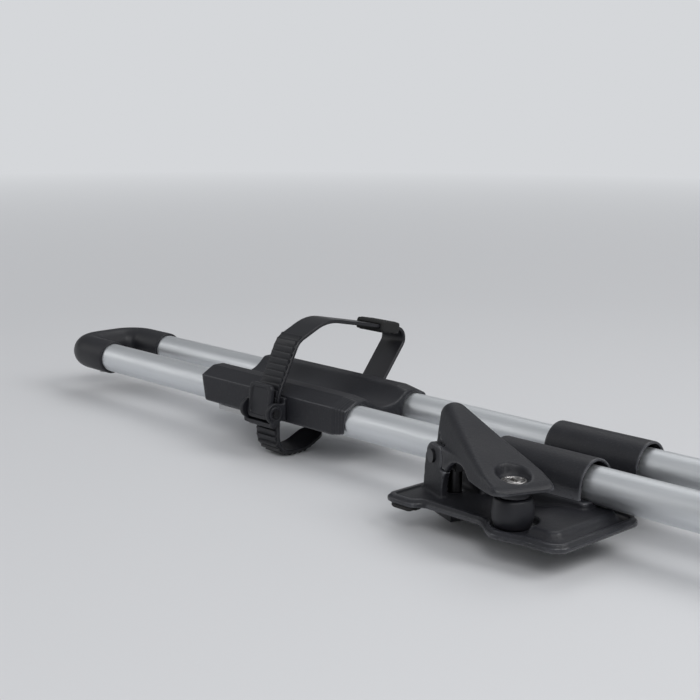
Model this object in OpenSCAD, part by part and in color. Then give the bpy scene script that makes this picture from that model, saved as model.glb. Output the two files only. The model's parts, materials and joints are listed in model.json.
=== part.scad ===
// Roof mounted bike carrier: twin rail tubes on two roof bar feet, with a sliding
// rear wheel holder and its ratchet strap, and a fork clamp at the front.
// +X points to the front of the car, +Z is up, and the origin lies on the top face
// of the rear roof bar, over its slot and midway between the two tubes.

/* [Rail tubes] */
// Outside diameter of each tube
tube_d = 19.5; // [18:0.5:21]
// Wall thickness of each tube
tube_wall = 1.6; // [1.2:0.1:2.5]
// Distance between the two tube axes
tube_gap = 48; // [46:1:54]
// Height of the tube axes above the roof bars
tube_z = 18.5; // [17.5:0.5:22]
// Length of the tubes behind the rear bar slot
rear_over = 369; // [360:1:420]
// Length of the tubes ahead of the front bar slot
front_over = 230; // [222:1:280]

/* [End loops] */
// Depth of each tube in its socket
socket_depth = 23; // [18:1:30]
// Wall of the loop round each tube
loop_wall = 1.6; // [1.2:0.1:2.4]
// Bend radius of the loop's corners
loop_bend = 16; // [14:0.5:18]
// Radius of the rivet that holds each socket
rivet_r = 2; // [1.5:0.25:2.5]

/* [Roof bar feet] */
// Distance between the two roof bars
bar_gap = 760; // [700:5:820]
// Thickness of the rubber pad on the bar
pad_t = 2; // [1.5:0.25:3]
// Thickness of the rim of the foot plate
rim_t = 3; // [2:0.25:4]
// Rear edge of the foot plate, behind the bar slot
plate_rear = 18.5; // [18:0.5:26]
// Front edge of the foot plate, ahead of the bar slot
plate_front = 95; // [90:1:105]
// Outer edge of the foot plate, from the middle plane
plate_side = 85; // [83:1:95]
// Depth of the groove that seats each tube
groove_depth = 4; // [2:0.5:5]
// Width of the low border of the foot plate
plate_step = 7; // [5:0.5:9]
// Height of the foot plate's platform above its rim
platform_h = 4; // [2:0.5:5]

/* [Tube saddles] */
// Wall thickness of the saddle
saddle_wall = 1.5; // [1:0.1:2.5]
// Free space between the saddle and the tube
saddle_room = 2.2; // [1:0.1:3]
// Rear edge of the saddle, ahead of the bar slot
saddle_rear = 11; // [8:0.5:16]
// Length of the saddle along the tube
saddle_l = 60; // [50:1:70]
// Radius of the saddle bolts
saddle_bolt_r = 3; // [2.5:0.25:4]

/* [Clamp lever] */
// Distance of the lever pivot from the middle plane
pivot_side = 49.5; // [49:0.5:54]
// Height of the lever pivot above the roof bar
pivot_z = 25; // [24:0.5:28]
// Swing of the lever away from the tubes, seen from above
lever_yaw = 22; // [18:1:26]
// Length of the lever from its pivot
lever_l = 75; // [74:1:80]
// Width of the lever at its grip end
lever_w = 34; // [28:1:36]
// Width of the lever between the ears
boss_w = 15; // [14:0.5:16]
// Height of the lever's top above the roof bar
lever_top = 51.5; // [46:0.5:56]
// Radius of the lever pin
pin_r = 3; // [2.5:0.25:3.5]
// Thickness of each ear
ear_t = 4; // [3:0.25:4.5]
// Throw of the lever's eccentric
throw = 1.2; // [0.8:0.1:1.6]
// Distance of the lock post from the lever's tip
tip_room = 12.5; // [11:0.5:15]
// Radius of the lock post
post_r = 10.5; // [9:0.5:12]
// Height of the lock post above the plate rim
post_h = 15; // [13:0.5:15]
// Radius of the lock core
core_r = 6.5; // [5:0.25:7.5]
// Height of the lock core
core_h = 8; // [6:0.5:9]

/* [Slot bolt] */
// Radius of the slot bolt's shank
bolt_r = 4; // [3:0.25:4.5]
// Width of the bolt's T head across the slot
bolt_head_w = 18; // [14:0.5:20]
// Thickness of the bolt's T head
bolt_head_t = 3.5; // [2.5:0.25:5]
// Depth of the T head's upper face below the bar's top
bolt_drop = 5.5; // [4:0.25:8]

/* [Wheel holder] */
// Length of the wheel holder along the tubes
holder_l = 134; // [116:1:140]
// Distance of the holder's middle behind the rear bar slot
holder_back = 165; // [158:1:180]
// Thickness of the holder outside each tube
holder_side = 2.6; // [2:0.1:4]
// Height of the holder's shoulder line above the roof bar
shoulder_z = 27.5; // [26:0.5:31]
// Height of the holder's crest above the roof bar
crest_z = 32.5; // [31.5:0.5:36]
// Height of the holder's lower edge above the roof bar
holder_base_z = 11; // [10:0.5:13]
// Radius of the trough that takes the tyre
trough_r = 22; // [20:0.5:25]
// Depth of the trough below the crest
trough_depth = 8.5; // [6:0.5:9]
// Lean of the holder's rear face, in degrees
rear_lean = 12; // [5:1:20]
// Length of the bevel at the holder's front end
bevel_l = 9; // [6:0.5:12]

/* [Wheel strap] */
// Width of the strap
strap_w = 20; // [16:0.5:24]
// Thickness of the strap without its teeth
strap_t = 2.2; // [1.8:0.1:2.6]
// Height of the strap's teeth
tooth_h = 1.2; // [0.8:0.1:1.5]
// Spacing of the strap's teeth
tooth_pitch = 4; // [3.5:0.25:6]
// Distance of the strap's middle behind the rear bar slot
strap_back = 159; // [154:1:164]
// Height of the strap's arch above the roof bar
arch_z = 68; // [62:1:80]
// Reach of the strap's far bend beyond its anchor
far_reach = 32; // [26:1:36]
// Drop of the strap's tail below the roof bar's top
tail_drop = 9; // [4:0.5:12]
// Length of the rim pad on the strap
rim_pad_l = 17; // [14:1:28]
// Thickness of the rim pad
rim_pad_t = 8; // [6:0.5:9]

/* [Strap buckle] */
// Thickness of the buckle's cheeks and back
cheek_t = 2.5; // [2:0.25:4]
// Height of the buckle pin above the roof bar
buckle_z = 18; // [17.5:0.5:19.5]
// Radius of the buckle pin
buckle_pin_r = 1.2; // [1:0.1:1.5]
// Height of the buckle's grip above its pin
grip_h = 15; // [13:0.5:18]
// Thickness of the buckle's grip
grip_t = 3.6; // [3:0.1:4.5]

/* [Fork clamp] */
// Distance of the fork axle ahead of the front bar slot
axle_ahead = 150; // [145:1:156]
// Height of the fork axle above the roof bar
axle_z = 84; // [76:1:100]
// Width of the axle barrel between the fork ends
hub_w = 100; // [80:1:110]
// Radius of the axle barrel
hub_r = 14; // [12:0.5:17]
// Length of the clamp's base along the tubes
head_l = 70; // [60:1:72]
// Width of the pillar that carries the barrel
pillar_w = 56; // [44:1:66]
// Gap for each fork end
fork_gap = 7; // [5:0.5:9]
// Radius of the skewer rod
rod_r = 2.5; // [2:0.25:3]
// Length of the skewer lever from its pivot
skewer_l = 62; // [50:1:75]
// Throw of the skewer lever's cam
skewer_throw = 1; // [0.6:0.1:1.5]
// Radius of the skewer nut
nut_r = 10; // [8:0.5:13]

/* [Hidden] */

$fn = 64;
hull_fn = 32;
black = [0.09, 0.09, 0.1];
rubber = [0.05, 0.05, 0.055];
silver = [0.72, 0.74, 0.76];
steel = [0.6, 0.6, 0.62];

// Clearances
fit = 0.05;      // a pressed or seated fit, on each side
run = 0.06;      // a pin that turns in its hole, on the radius
slide = 0.35;    // a moving piece beside its guide
over = 1;        // how far a cutter reaches past the face it cuts

// Rail tubes and end loops
tube_r = tube_d / 2;
tube_y = tube_gap / 2;
tube_front = bar_gap + front_over;
tube_low = tube_z - tube_r;
loop_r = tube_r + fit + loop_wall;
tube_lip = 2;
rivet_head_r = rivet_r * 1.7;
rivet_head_t = 1;
rivet_sink = 0.7;
rivet_grip = 2;

// Foot
rim_top = pad_t + rim_t;
seat_top = tube_low + groove_depth;
saddle_in = tube_r + saddle_room;
saddle_out = saddle_in + saddle_wall;
saddle_front = saddle_rear + saddle_l;
saddle_bolt_inset = saddle_l / 4.5;
saddle_bolt_x = [saddle_rear + saddle_bolt_inset, saddle_front - saddle_bolt_inset];
saddle_bolt_l = seat_top + saddle_wall - rim_top - 0.5;
plate_far = tube_y + saddle_out + 2;
corner_r = 9;
lobe_in = tube_y - 8;
bridge_front = saddle_front + 5;
bridge_edge = 1;
bridge_r = 3;
platform_lap = 15;
platform_rear = saddle_front - platform_lap;
platform_r = 5;
platform_slope = 3;
pad_inset = 2;
pad_front = 28;
pad_r = 6;

// Clamp lever, in its own frame: X along the lever, Y along the pin
ear_gap = boss_w + 3.5;
ear_r = 8;
ear_back = 11;
ear_front = 13;
pin_half = ear_gap / 2 + ear_t;
pin_head_r = pin_r + 0.6;
pin_head_t = 1.2;
boss_r = 8;
ecc_r = pin_r + 2.5;
yoke_w = 8;
yoke_wall = 2.5;
yoke_room = 0.45;
yoke_slot = yoke_w + 1.4;
window_half = ecc_r + throw + 0.3;
window_top = throw + ecc_r + yoke_room;
window_low = throw - ecc_r - yoke_room;
yoke_reach = norm([window_half + yoke_wall, window_top + yoke_wall]) + 0.8;
post_u = lever_l - tip_room;
post_top = rim_top + post_h;
lever_low = post_top + 0.4;
grip_r = 3.2;
grip_corner = 7;
brow_rise = 8.2;
brow_back = 1.5;
crown_r = 6;
crown_w = boss_w - 4;
crown_back = 2;

// Side walls of the lever, level with the ears, the arch cut under them and the hollow between them
ear_edge = ear_front - (ear_front - ear_r) * (lever_low - rim_top) / (pivot_z - rim_top);
ear_clear = norm([ear_edge, pivot_z - lever_low]) + 2 * slide;
wall_half = pin_half - 0.25;
wall_rear = ear_edge;
wall_l = lever_l / 2;
wall_h = 11.5;
wall_t = 3.5;
hollow_h = wall_h - 1.5;
under_r = 20;
under_ahead = 22;
under_drop = 12.1;
under_u = wall_rear + under_ahead;
under_z = lever_low - under_drop;
nose_rise = 3.4;
recess_r = core_r + 1.2;
recess_flare = 18;
lock_boss_r = core_r + 1.7;

// Lock: the core's tongue passes through a slot in the post and turns under its lip
bulge_r = post_r + 4;
barrel_sag = 2;
spigot_r = 5;
spigot_h = rim_t - 0.5;
tongue_l = 7.8;
tongue_w = 2.6;
tongue_t = 1.6;
tongue_room = 0.6;
slot_room = 1.1;
lip_t = 2;
chamber_h = 4;
tongue_top = post_top - lip_t - 0.8;
key_w = 1.2;
key_depth = 3;

// Wheel holder
holder_y = tube_y + tube_r + holder_side;
holder_x = -holder_back;
trough_z = crest_z - trough_depth + trough_r;
crest_out = 2;
front_lip = 0.8;
clamp_t = 3;
clamp_w = 30;
clamp_edge = 6;
clamp_r = 4;
clamp_top = tube_low - slide;
clamp_screw_r = 3;
clamp_bite = 8;
clamp_inset = 10;
clamp_x = holder_x - holder_l / 2 + clamp_w / 2 + clamp_inset;
lug_t = 3;
lug_side = 0.5;

// Strap and buckle
strap_x = -strap_back;
strap_pin_r = 2.5;
strap_eye_r = strap_pin_r + run + strap_t;
lug_r = strap_pin_r + 3;
strap_pin_y = holder_y + strap_eye_r + 1;
strap_pin_z = tube_z;
strap_pin_half = strap_w / 2 + lug_side + lug_t;
back_y = -(holder_y + cheek_t);
strap_run_y = back_y - slide - strap_t / 2;
teeth_y = strap_run_y - strap_t / 2 - tooth_h;
barrel_r = buckle_pin_r + 1.6;
buckle_y = teeth_y - slide - barrel_r;
buckle_in = strap_w / 2 + lug_side;
buckle_out = buckle_in + cheek_t;
cheek_r = barrel_r + 3.5;
frame_inset = 1;
grip_lean = 2;
lip_l = 5;
lip_in = 1.8;
chin_h = 3.8;
chin_gap = 0.4;
boss_head_t = 1.2;
spring_wire = 0.5;
spring_gap = 0.2;
spring_r = buckle_pin_r + spring_gap + spring_wire / 2;
spring_turns = 5;
spring_pitch = 1.6;
spring_l = spring_turns * spring_pitch;
ring_sides = 6;
rings_per_turn = 8;
flush_r = 1.2;
flush_head_r = 2.2;
flush_head_t = 1.2;
flush_l = 2.5;
flush_x = 7;
flush_z = shoulder_z - 3.5;

// Fork clamp
axle_x = bar_gap + axle_ahead;
hub_half = hub_w / 2;
washer_t = 2;
collar_t = 7;
collar_r = hub_r - 2;
clamp_face = hub_half + fork_gap;
pillar_inset = 10;
head_screw_inset = 16;
head_screw_x = [axle_x - head_l / 2 + head_screw_inset, axle_x + head_l / 2 - head_screw_inset];
eye_r = 5;
eye_w = 8;
cam_r = 8;
cam_w = 3.5;
cam_x = eye_w / 2 + slide + cam_w / 2;
skewer_half = cam_x + cam_w / 2;
skewer_pivot = clamp_face + collar_t + cam_r + skewer_throw + slide;
skewer_pin_r = 2;
paddle_half = 9;
paddle_r = 3;
paddle_lean = 2;
neck_r = 3.5;
neck_z = cam_r + 6;
web_back = 5.5;
web_front = 1.5;
web_lap = 1;
rod_end = 2;
nut_t = 12;
nut_grips = 12;
grip_flute_r = 1.8;

// Moves its child to a foot
module at_foot(front) { translate([front ? bar_gap : 0, 0, 0]) children(); }

// Moves its child into the frame of the clamp lever
module at_lever() { translate([0, -pivot_side, 0]) rotate([0, 0, -lever_yaw]) children(); }

// Extrudes an outline drawn in X and Z by w along Y, about the middle plane
module across(w) { translate([0, w / 2, 0]) rotate([90, 0, 0]) linear_extrude(w) children(); }

// Extrudes an outline drawn in Y and Z by l along X, about the middle
module along(l) { translate([-l / 2, 0, 0]) rotate([90, 0, 90]) linear_extrude(l) children(); }

// A rod along X, from x0 to x1
module rod_x(r, x0, x1) { translate([x0, 0, 0]) rotate([0, 90, 0]) cylinder(r = r, h = x1 - x0); }

// A rod along Y, from y0 to y1
module rod_y(r, y0, y1) { translate([0, y0, 0]) rotate([-90, 0, 0]) cylinder(r = r, h = y1 - y0); }

// A hole along Z, from below z0 to above z1
module hole_z(r, z0, z1) { translate([0, 0, z0 - over]) cylinder(r = r, h = z1 - z0 + 2 * over); }

// A flat rectangle with round corners
module round_rect(x0, y0, x1, y1, r) {
    translate([x0 + r, y0]) square([x1 - x0 - 2 * r, y1 - y0]);
    translate([x0, y0 + r]) square([x1 - x0, y1 - y0 - 2 * r]);
    for (x = [x0 + r, x1 - r], y = [y0 + r, y1 - r]) translate([x, y]) circle(r);
}

// A screw with a socket head, its head's seat at the origin and its shank down
module socket_screw(r, l) {
    head_h = r * 1.3;
    difference() {
        union() {
            translate([0, 0, -l]) cylinder(r = r, h = l);
            cylinder(r = r * 1.7, h = head_h);
        }
        translate([0, 0, head_h / 2]) cylinder(r = r * 0.9, h = head_h, $fn = 6);
    }
}

// Rail tubes
module tube(side) {
    color(silver) translate([0, side * tube_y, tube_z]) difference() {
        rod_x(tube_r, -rear_over, tube_front);
        rod_x(tube_r - tube_wall, -rear_over - over, tube_front + over);
        for (x = [-rear_over + socket_depth / 2, tube_front - socket_depth / 2])
            translate([x, 0, -tube_r - over]) cylinder(r = rivet_r + fit, h = tube_r + over);
    }
}

// End loops: two sockets, two bends and a cross bar, drawn for the rear end
module end_loop(end_x, turn) {
    half_bar = tube_y - loop_bend;
    color(black) translate([end_x, 0, tube_z]) rotate([0, 0, turn]) difference() {
        union() {
            for (s = [-1, 1]) {
                translate([0, s * tube_y, 0]) rod_x(loop_r, -tube_lip, socket_depth);
                translate([-tube_lip, s * half_bar, 0]) rotate([0, 0, s > 0 ? 90 : 180])
                    rotate_extrude(angle = 90) translate([loop_bend, 0]) circle(loop_r);
            }
            translate([-tube_lip - loop_bend, 0, 0]) rod_y(loop_r, -half_bar, half_bar);
        }
        for (s = [-1, 1]) translate([0, s * tube_y, 0]) {
            rod_x(tube_r + fit, 0, socket_depth + over);
            translate([socket_depth / 2, 0, -loop_r - over]) {
                cylinder(r = rivet_r + fit, h = loop_r + over);
                cylinder(r = rivet_head_r + fit, h = over + rivet_sink);
            }
        }
    }
}

module loop_rivets(end_x, way) {
    seat = tube_z - loop_r + rivet_sink;
    color(steel) for (s = [-1, 1]) translate([end_x + way * socket_depth / 2, s * tube_y, seat]) {
        cylinder(r = rivet_r, h = loop_wall + tube_wall + rivet_grip);
        translate([0, 0, -rivet_head_t]) cylinder(r = rivet_head_r, h = rivet_head_t);
    }
}

// Foot plate: a rim, a bridge under the tubes, a platform ahead of the lock post, and two ears
module plate_outline() {
    round_rect(-plate_rear, -plate_side, plate_front, -lobe_in, corner_r);
    round_rect(-plate_rear, -plate_side, bridge_front, plate_far, corner_r);
    translate([post_u * cos(lever_yaw), -pivot_side - post_u * sin(lever_yaw)]) circle(bulge_r);
}

module bridge_outline() {
    side = tube_y + saddle_out + bridge_edge;
    round_rect(-plate_rear + bridge_r, -side, bridge_front - bridge_edge, side, bridge_r);
}

module platform_outline(inset) {
    round_rect(platform_rear + inset, -plate_side + plate_step + inset, plate_front - plate_step - inset,
        -lobe_in - plate_step - inset, platform_r);
}

module ear_outline() {
    translate([0, pivot_z]) circle(ear_r);
    // Leg of the ear, below the lever's side wall and cut by the same arch
    difference() {
        union() {
            polygon([[-ear_back, rim_top - fit], [ear_front, rim_top - fit], [ear_r, pivot_z],
                [-ear_r, pivot_z]]);
            translate([0, rim_top - fit]) square([under_ahead, lever_low - slide - rim_top + fit]);
        }
        translate([under_u, under_z]) circle(under_r);
    }
    // Front of the ear, round about the pin and close to the lever's side wall
    translate([0, pivot_z]) intersection() {
        circle(ear_clear - slide);
        translate([0, lever_low - pivot_z]) square([ear_clear, wall_h]);
    }
}

module foot_plate(front) {
    color(black) at_foot(front) difference() {
        union() {
            translate([0, 0, pad_t]) linear_extrude(rim_t) plate_outline();
            translate([0, 0, pad_t]) linear_extrude(seat_top - pad_t) bridge_outline();
            hull() {
                translate([0, 0, pad_t]) linear_extrude(rim_t) platform_outline(0, $fn = hull_fn);
                translate([0, 0, pad_t]) linear_extrude(rim_t + platform_h)
                    platform_outline(platform_slope, $fn = hull_fn);
            }
            at_lever() for (s = [-1, 1]) translate([0, s * (ear_gap + ear_t) / 2, 0])
                across(ear_t) ear_outline();
        }
        for (s = [-1, 1]) translate([0, s * tube_y, tube_z])
            rod_x(tube_r + fit, -plate_rear - over, plate_front + over);
        at_lever() {
            translate([0, 0, pivot_z]) rod_y(pin_r + fit, -pin_half - over, pin_half + over);
            hole_z(bolt_r + slide, pad_t, rim_top);
            translate([post_u, 0, rim_top - fit]) cylinder(r = post_r + fit, h = post_h);
            translate([post_u, 0, rim_top - spigot_h - fit]) cylinder(r = spigot_r + fit, h = post_h);
        }
        for (x = saddle_bolt_x) translate([x, 0, rim_top]) cylinder(r = saddle_bolt_r + fit, h = seat_top);
    }
}

module foot_pad(front) {
    color(rubber) at_foot(front) difference() {
        linear_extrude(pad_t) round_rect(-plate_rear + pad_inset, -plate_side + pad_inset, pad_front,
            plate_far - pad_inset, pad_r);
        at_lever() hole_z(bolt_r + 2 * slide, 0, pad_t);
    }
}

// Saddle: an arch over each tube, joined by a flange that is bolted down between them
module tube_saddle(front) {
    flange = tube_y - saddle_in;
    color(black) at_foot(front) difference() {
        translate([saddle_rear + saddle_l / 2, 0, 0]) along(saddle_l) {
            for (s = [-1, 1]) translate([s * tube_y, 0]) difference() {
                union() {
                    translate([0, tube_z]) circle(saddle_out);
                    translate([-saddle_out, seat_top]) square([2 * saddle_out, tube_z - seat_top]);
                }
                translate([0, tube_z]) circle(saddle_in);
                translate([-saddle_in, 0]) square([2 * saddle_in, tube_z]);
                translate([-saddle_out - over, tube_z - saddle_out - over])
                    square([2 * (saddle_out + over), seat_top - tube_z + saddle_out + over]);
            }
            translate([-flange, seat_top]) square([2 * flange, saddle_wall]);
        }
        for (x = saddle_bolt_x) translate([x, 0, 0])
            hole_z(saddle_bolt_r + fit, seat_top, seat_top + saddle_wall);
    }
}

module saddle_bolts(front) {
    color(steel) at_foot(front) for (x = saddle_bolt_x) translate([x, 0, seat_top + saddle_wall])
        socket_screw(saddle_bolt_r, saddle_bolt_l);
}

// Clamp lever with its eccentric, its pin, its slot bolt and its lock
module lever_pin(front) {
    color(steel) at_foot(front) at_lever() translate([0, 0, pivot_z]) {
        rod_y(pin_r, -pin_half - pin_head_t, pin_half);
        rod_y(pin_head_r, -pin_half - pin_head_t, -pin_half);
    }
}

module lever_body() {
    half = lever_w / 2;
    hull() {
        translate([-crown_back, 0, lever_top - crown_r])
            rod_y(crown_r, -crown_w / 2, crown_w / 2, $fn = hull_fn);
        translate([0, 0, pivot_z]) rod_y(boss_r, -boss_w / 2, boss_w / 2, $fn = hull_fn);
        for (s = [-1, 1]) translate([lever_l - grip_corner, s * (half - grip_corner), lever_low])
            cylinder(r = grip_corner, h = 2 * grip_r, $fn = hull_fn);
        translate([post_u - brow_back, 0, lever_low + brow_rise]) rod_y(grip_r, -half, half, $fn = hull_fn);
    }
}

module clamp_lever(front) {
    color(black) at_foot(front) at_lever() difference() {
        union() {
            difference() {
                union() {
                    lever_body();
                    translate([wall_rear, -wall_half, lever_low]) cube([wall_l, 2 * wall_half, wall_h]);
                }
                // Slot for the slot bolt's yoke
                translate([0, 0, pivot_z]) rod_y(yoke_reach, -yoke_slot / 2, yoke_slot / 2);
                translate([-yoke_reach, -yoke_slot / 2, pivot_z - yoke_reach])
                    cube([yoke_reach, yoke_slot, yoke_reach]);
                // Flat underside, clear of the post and the plate
                translate([0, -lever_w, 0]) cube([lever_l + over, 2 * lever_w, lever_low]);
                translate([under_u, 0, under_z]) rod_y(under_r, -lever_w, lever_w);
                // Raised underside of the grip, with a boss round the lock core
                difference() {
                    translate([under_u, -lever_w, 0]) cube([lever_l, 2 * lever_w, lever_low + nose_rise]);
                    translate([post_u, 0, 0]) cylinder(r = lock_boss_r, h = lever_top);
                }
                translate([wall_rear, wall_t - wall_half, lever_low - over])
                    cube([wall_l, 2 * (wall_half - wall_t), hollow_h + over]);
                // Room for the ears
                for (s = [-1, 1]) translate([0, s * (boss_w / 2 + slide + lever_w), pivot_z])
                    rod_y(ear_clear, -lever_w, lever_w);
            }
            translate([0, 0, pivot_z + throw]) rod_y(ecc_r, -yoke_slot / 2, yoke_slot / 2);
        }
        translate([0, 0, pivot_z]) rod_y(pin_r + run, -boss_w, boss_w);
        translate([post_u, 0, 0]) hole_z(core_r + run, lever_low, lever_top);
        translate([post_u, 0, lever_low + core_h])
            cylinder(r1 = recess_r, r2 = recess_r + recess_flare, h = lever_top);
    }
}

module lock_core(front) {
    color(steel) at_foot(front) at_lever() translate([post_u, 0, 0]) difference() {
        union() {
            translate([0, 0, lever_low]) cylinder(r = core_r, h = core_h);
            translate([0, 0, tongue_top - tongue_t])
                cylinder(r = tongue_w / 2, h = lever_low - tongue_top + tongue_t);
            translate([-tongue_w / 2, -tongue_l / 2, tongue_top - tongue_t])
                cube([tongue_w, tongue_l, tongue_t]);
        }
        translate([-core_r / 2, -key_w / 2, lever_low + core_h - key_depth])
            cube([core_r, key_w, key_depth + over]);
    }
}

// A round point of the lock post's barrel side, k from 0 at its foot to 1 at its top
function barrel_point(k) = [post_r - barrel_sag * pow(2 * k - 1, 2), post_h * k];

module lock_post(front) {
    slot_u = tongue_w + 2 * slot_room;
    slot_v = tongue_l + 2 * tongue_room;
    color(black) at_foot(front) at_lever() translate([post_u, 0, rim_top]) difference() {
        union() {
            rotate_extrude()
                polygon(concat([[0, 0]], [for (k = [0:0.125:1]) barrel_point(k)], [[0, post_h]]));
            translate([0, 0, -spigot_h]) cylinder(r = spigot_r, h = spigot_h + over);
        }
        translate([-slot_u / 2, -slot_v / 2, post_h - lip_t - over])
            cube([slot_u, slot_v, lip_t + 2 * over]);
        translate([0, 0, post_h - lip_t - chamber_h])
            cylinder(r = tongue_l / 2 + tongue_room, h = chamber_h);
    }
}

module slot_bolt(front) {
    head_half = bolt_r * 1.6;
    color(steel) at_foot(front) at_lever() {
        translate([-bolt_head_w / 2, -head_half, -bolt_drop - bolt_head_t])
            cube([bolt_head_w, 2 * head_half, bolt_head_t]);
        translate([0, 0, -bolt_drop - over])
            cylinder(r = bolt_r, h = bolt_drop + over + pivot_z + window_low - yoke_wall / 2);
        translate([0, 0, pivot_z]) across(yoke_w) difference() {
            translate([-window_half - yoke_wall, window_low - yoke_wall])
                square([2 * (window_half + yoke_wall), window_top - window_low + 2 * yoke_wall]);
            translate([-window_half, window_low]) square([2 * window_half, window_top - window_low]);
        }
    }
}

// A block that sits over both tubes, from x0 to x1, bevelled at its front end
module block_outline(inset) {
    side = holder_y - inset;
    shoulder = shoulder_z - inset;
    crest = crest_z - inset;
    polygon([[-side, holder_base_z], [-side, shoulder], [-tube_y - crest_out, crest],
        [tube_y + crest_out, crest], [side, shoulder], [side, holder_base_z]]);
}

module rail_block(x0, x1, play) {
    bevel_x = x1 - bevel_l;
    difference() {
        union() {
            translate([(x0 + bevel_x) / 2, 0, 0]) along(bevel_x - x0) block_outline(0);
            hull() {
                translate([bevel_x - over / 2, 0, 0]) along(over) block_outline(0);
                translate([x1 - over / 2, 0, 0]) along(over) block_outline(holder_side - play - front_lip);
            }
        }
        for (s = [-1, 1]) translate([0, s * tube_y, tube_z]) {
            rod_x(tube_r + play, x0 - over, x1 + over);
            translate([x0 - over, -tube_r - play, holder_base_z - tube_z - over])
                cube([x1 - x0 + 2 * over, 2 * (tube_r + play), tube_z - holder_base_z + over]);
        }
    }
}

module wheel_holder() {
    x0 = holder_x - holder_l / 2;
    color(black) difference() {
        union() {
            difference() {
                rail_block(x0, x0 + holder_l, slide);
                translate([x0, 0, trough_z]) rod_x(trough_r, -over, holder_l + over);
                // Leaning rear face
                translate([x0, 0, crest_z]) rotate([0, -rear_lean, 0])
                    translate([-holder_l, -2 * holder_y, -2 * crest_z])
                    cube([holder_l, 4 * holder_y, 3 * crest_z]);
            }
            for (s = [-1, 1]) translate([strap_x + s * (strap_pin_half - lug_t / 2), 0, 0]) along(lug_t) {
                translate([strap_pin_y, strap_pin_z]) circle(lug_r);
                translate([holder_y - over, strap_pin_z - lug_r])
                    square([strap_pin_y - holder_y + over, 2 * lug_r]);
            }
        }
        translate([strap_x, strap_pin_y, strap_pin_z]) rod_x(strap_pin_r + fit, -2 * strap_w, 2 * strap_w);
        translate([clamp_x, 0, holder_base_z - over])
            cylinder(r = clamp_screw_r + fit, h = clamp_bite + 2 * over);
        at_flush_rivets() rod_y(flush_r + fit, -over, flush_l + fit);
    }
}

module holder_clamp_plate() {
    color(steel) translate([clamp_x, 0, clamp_top - clamp_t]) difference() {
        linear_extrude(clamp_t)
            round_rect(-clamp_w / 2, -tube_y - clamp_edge, clamp_w / 2, tube_y + clamp_edge, clamp_r);
        hole_z(clamp_screw_r + fit, 0, clamp_t);
    }
}

module holder_clamp_screw() {
    color(steel) translate([clamp_x, 0, clamp_top - clamp_t]) rotate([180, 0, 0])
        socket_screw(clamp_screw_r, clamp_t + holder_base_z - clamp_top + clamp_bite);
}

// Strap: its middle line, in Y and Z, is a row of straight runs with round corners
function unit(v) = v / norm(v);
full_turn = 360;
function turn_angle(a, b) = b - a - full_turn * round((b - a) / full_turn);
function half_angle(a, b, c) = acos(unit(a - b) * unit(c - b)) / 2;
function tangent(a, b, c, r) = r / tan(half_angle(a, b, c));
function corner(a, b, c, r, n = 10) =
    let (u = unit(a - b), v = unit(c - b), t = tangent(a, b, c, r),
        o = b + unit(u + v) * r / sin(half_angle(a, b, c)), p = b + u * t - o, q = b + v * t - o,
        p_angle = atan2(p[1], p[0]), sweep = turn_angle(p_angle, atan2(q[1], q[0])))
    [for (k = [0:n]) o + r * [cos(p_angle + sweep * k / n), sin(p_angle + sweep * k / n)]];
function rounded(pts, radii) = concat([pts[0]],
    [for (k = [1:len(pts) - 2]) each corner(pts[k - 1], pts[k], pts[k + 1], radii[k - 1])],
    [pts[len(pts) - 1]]);
function with_length(p) = [for (k = 0, s = 0; k < len(p);
    s = s + (k + 1 < len(p) ? norm(p[k + 1] - p[k]) : 0), k = k + 1) [s, p[k][0], p[k][1]]];

// Far anchor, far bend, crown, near kink, top and foot of the buckle's run, and the tail
far_drop = 14;
crown_rise = 1;
kink_drop = 9.5;
run_drop = 1;
tail_rise = 8;
tail_bend = 6;
strap_points = [[strap_pin_y + strap_eye_r - strap_t / 2, strap_pin_z],
    [strap_pin_y + far_reach, arch_z - far_drop], [0, arch_z + crown_rise], [-tube_y, arch_z - kink_drop],
    [strap_run_y, shoulder_z - run_drop], [strap_run_y, -tail_drop], [-tube_y + tail_bend, -tail_drop],
    [0, tail_rise - tail_drop]];
strap_radii = [7, 30, 12, 14, 11, 20];
corner_points = 11;
strap_line = with_length(rounded(strap_points, strap_radii));
strap_len = strap_line[len(strap_line) - 1][0];
strap_ys = [for (p = strap_line) [p[0], p[1]]];
strap_zs = [for (p = strap_line) [p[0], p[2]]];
function strap_at(s) = [lookup(s, strap_ys), lookup(s, strap_zs)];
function strap_out(s) =
    let (d = unit(strap_at(min(s + 0.5, strap_len)) - strap_at(max(s - 0.5, 0)))) [d[1], -d[0]];
// The teeth start at the near kink and stop short of the tail's tip
teeth_from = strap_line[1 + 2 * corner_points][0];
teeth_to = strap_len - 2 * tooth_pitch;
tooth_profile = [1, 0.4, 0];

module wheel_strap() {
    steps = floor(strap_len / tooth_pitch * len(tooth_profile));
    step = strap_len / steps;
    function rise(k) = k * step > teeth_from && k * step < teeth_to
        ? tooth_h * tooth_profile[k % len(tooth_profile)] : 0;
    outer = [for (k = [0:steps]) strap_at(k * step) + strap_out(k * step) * (strap_t / 2 + rise(k))];
    inner = [for (k = [steps:-1:0]) strap_at(k * step) - strap_out(k * step) * strap_t / 2];
    color(black) translate([strap_x, 0, 0]) along(strap_w) difference() {
        union() {
            polygon(concat(outer, inner));
            translate([strap_pin_y, strap_pin_z]) circle(strap_eye_r);
        }
        translate([strap_pin_y, strap_pin_z]) circle(strap_pin_r + run);
    }
}

module strap_pin() {
    color(steel) translate([strap_x, strap_pin_y, strap_pin_z])
        rod_x(strap_pin_r, -strap_pin_half, strap_pin_half);
}

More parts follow.
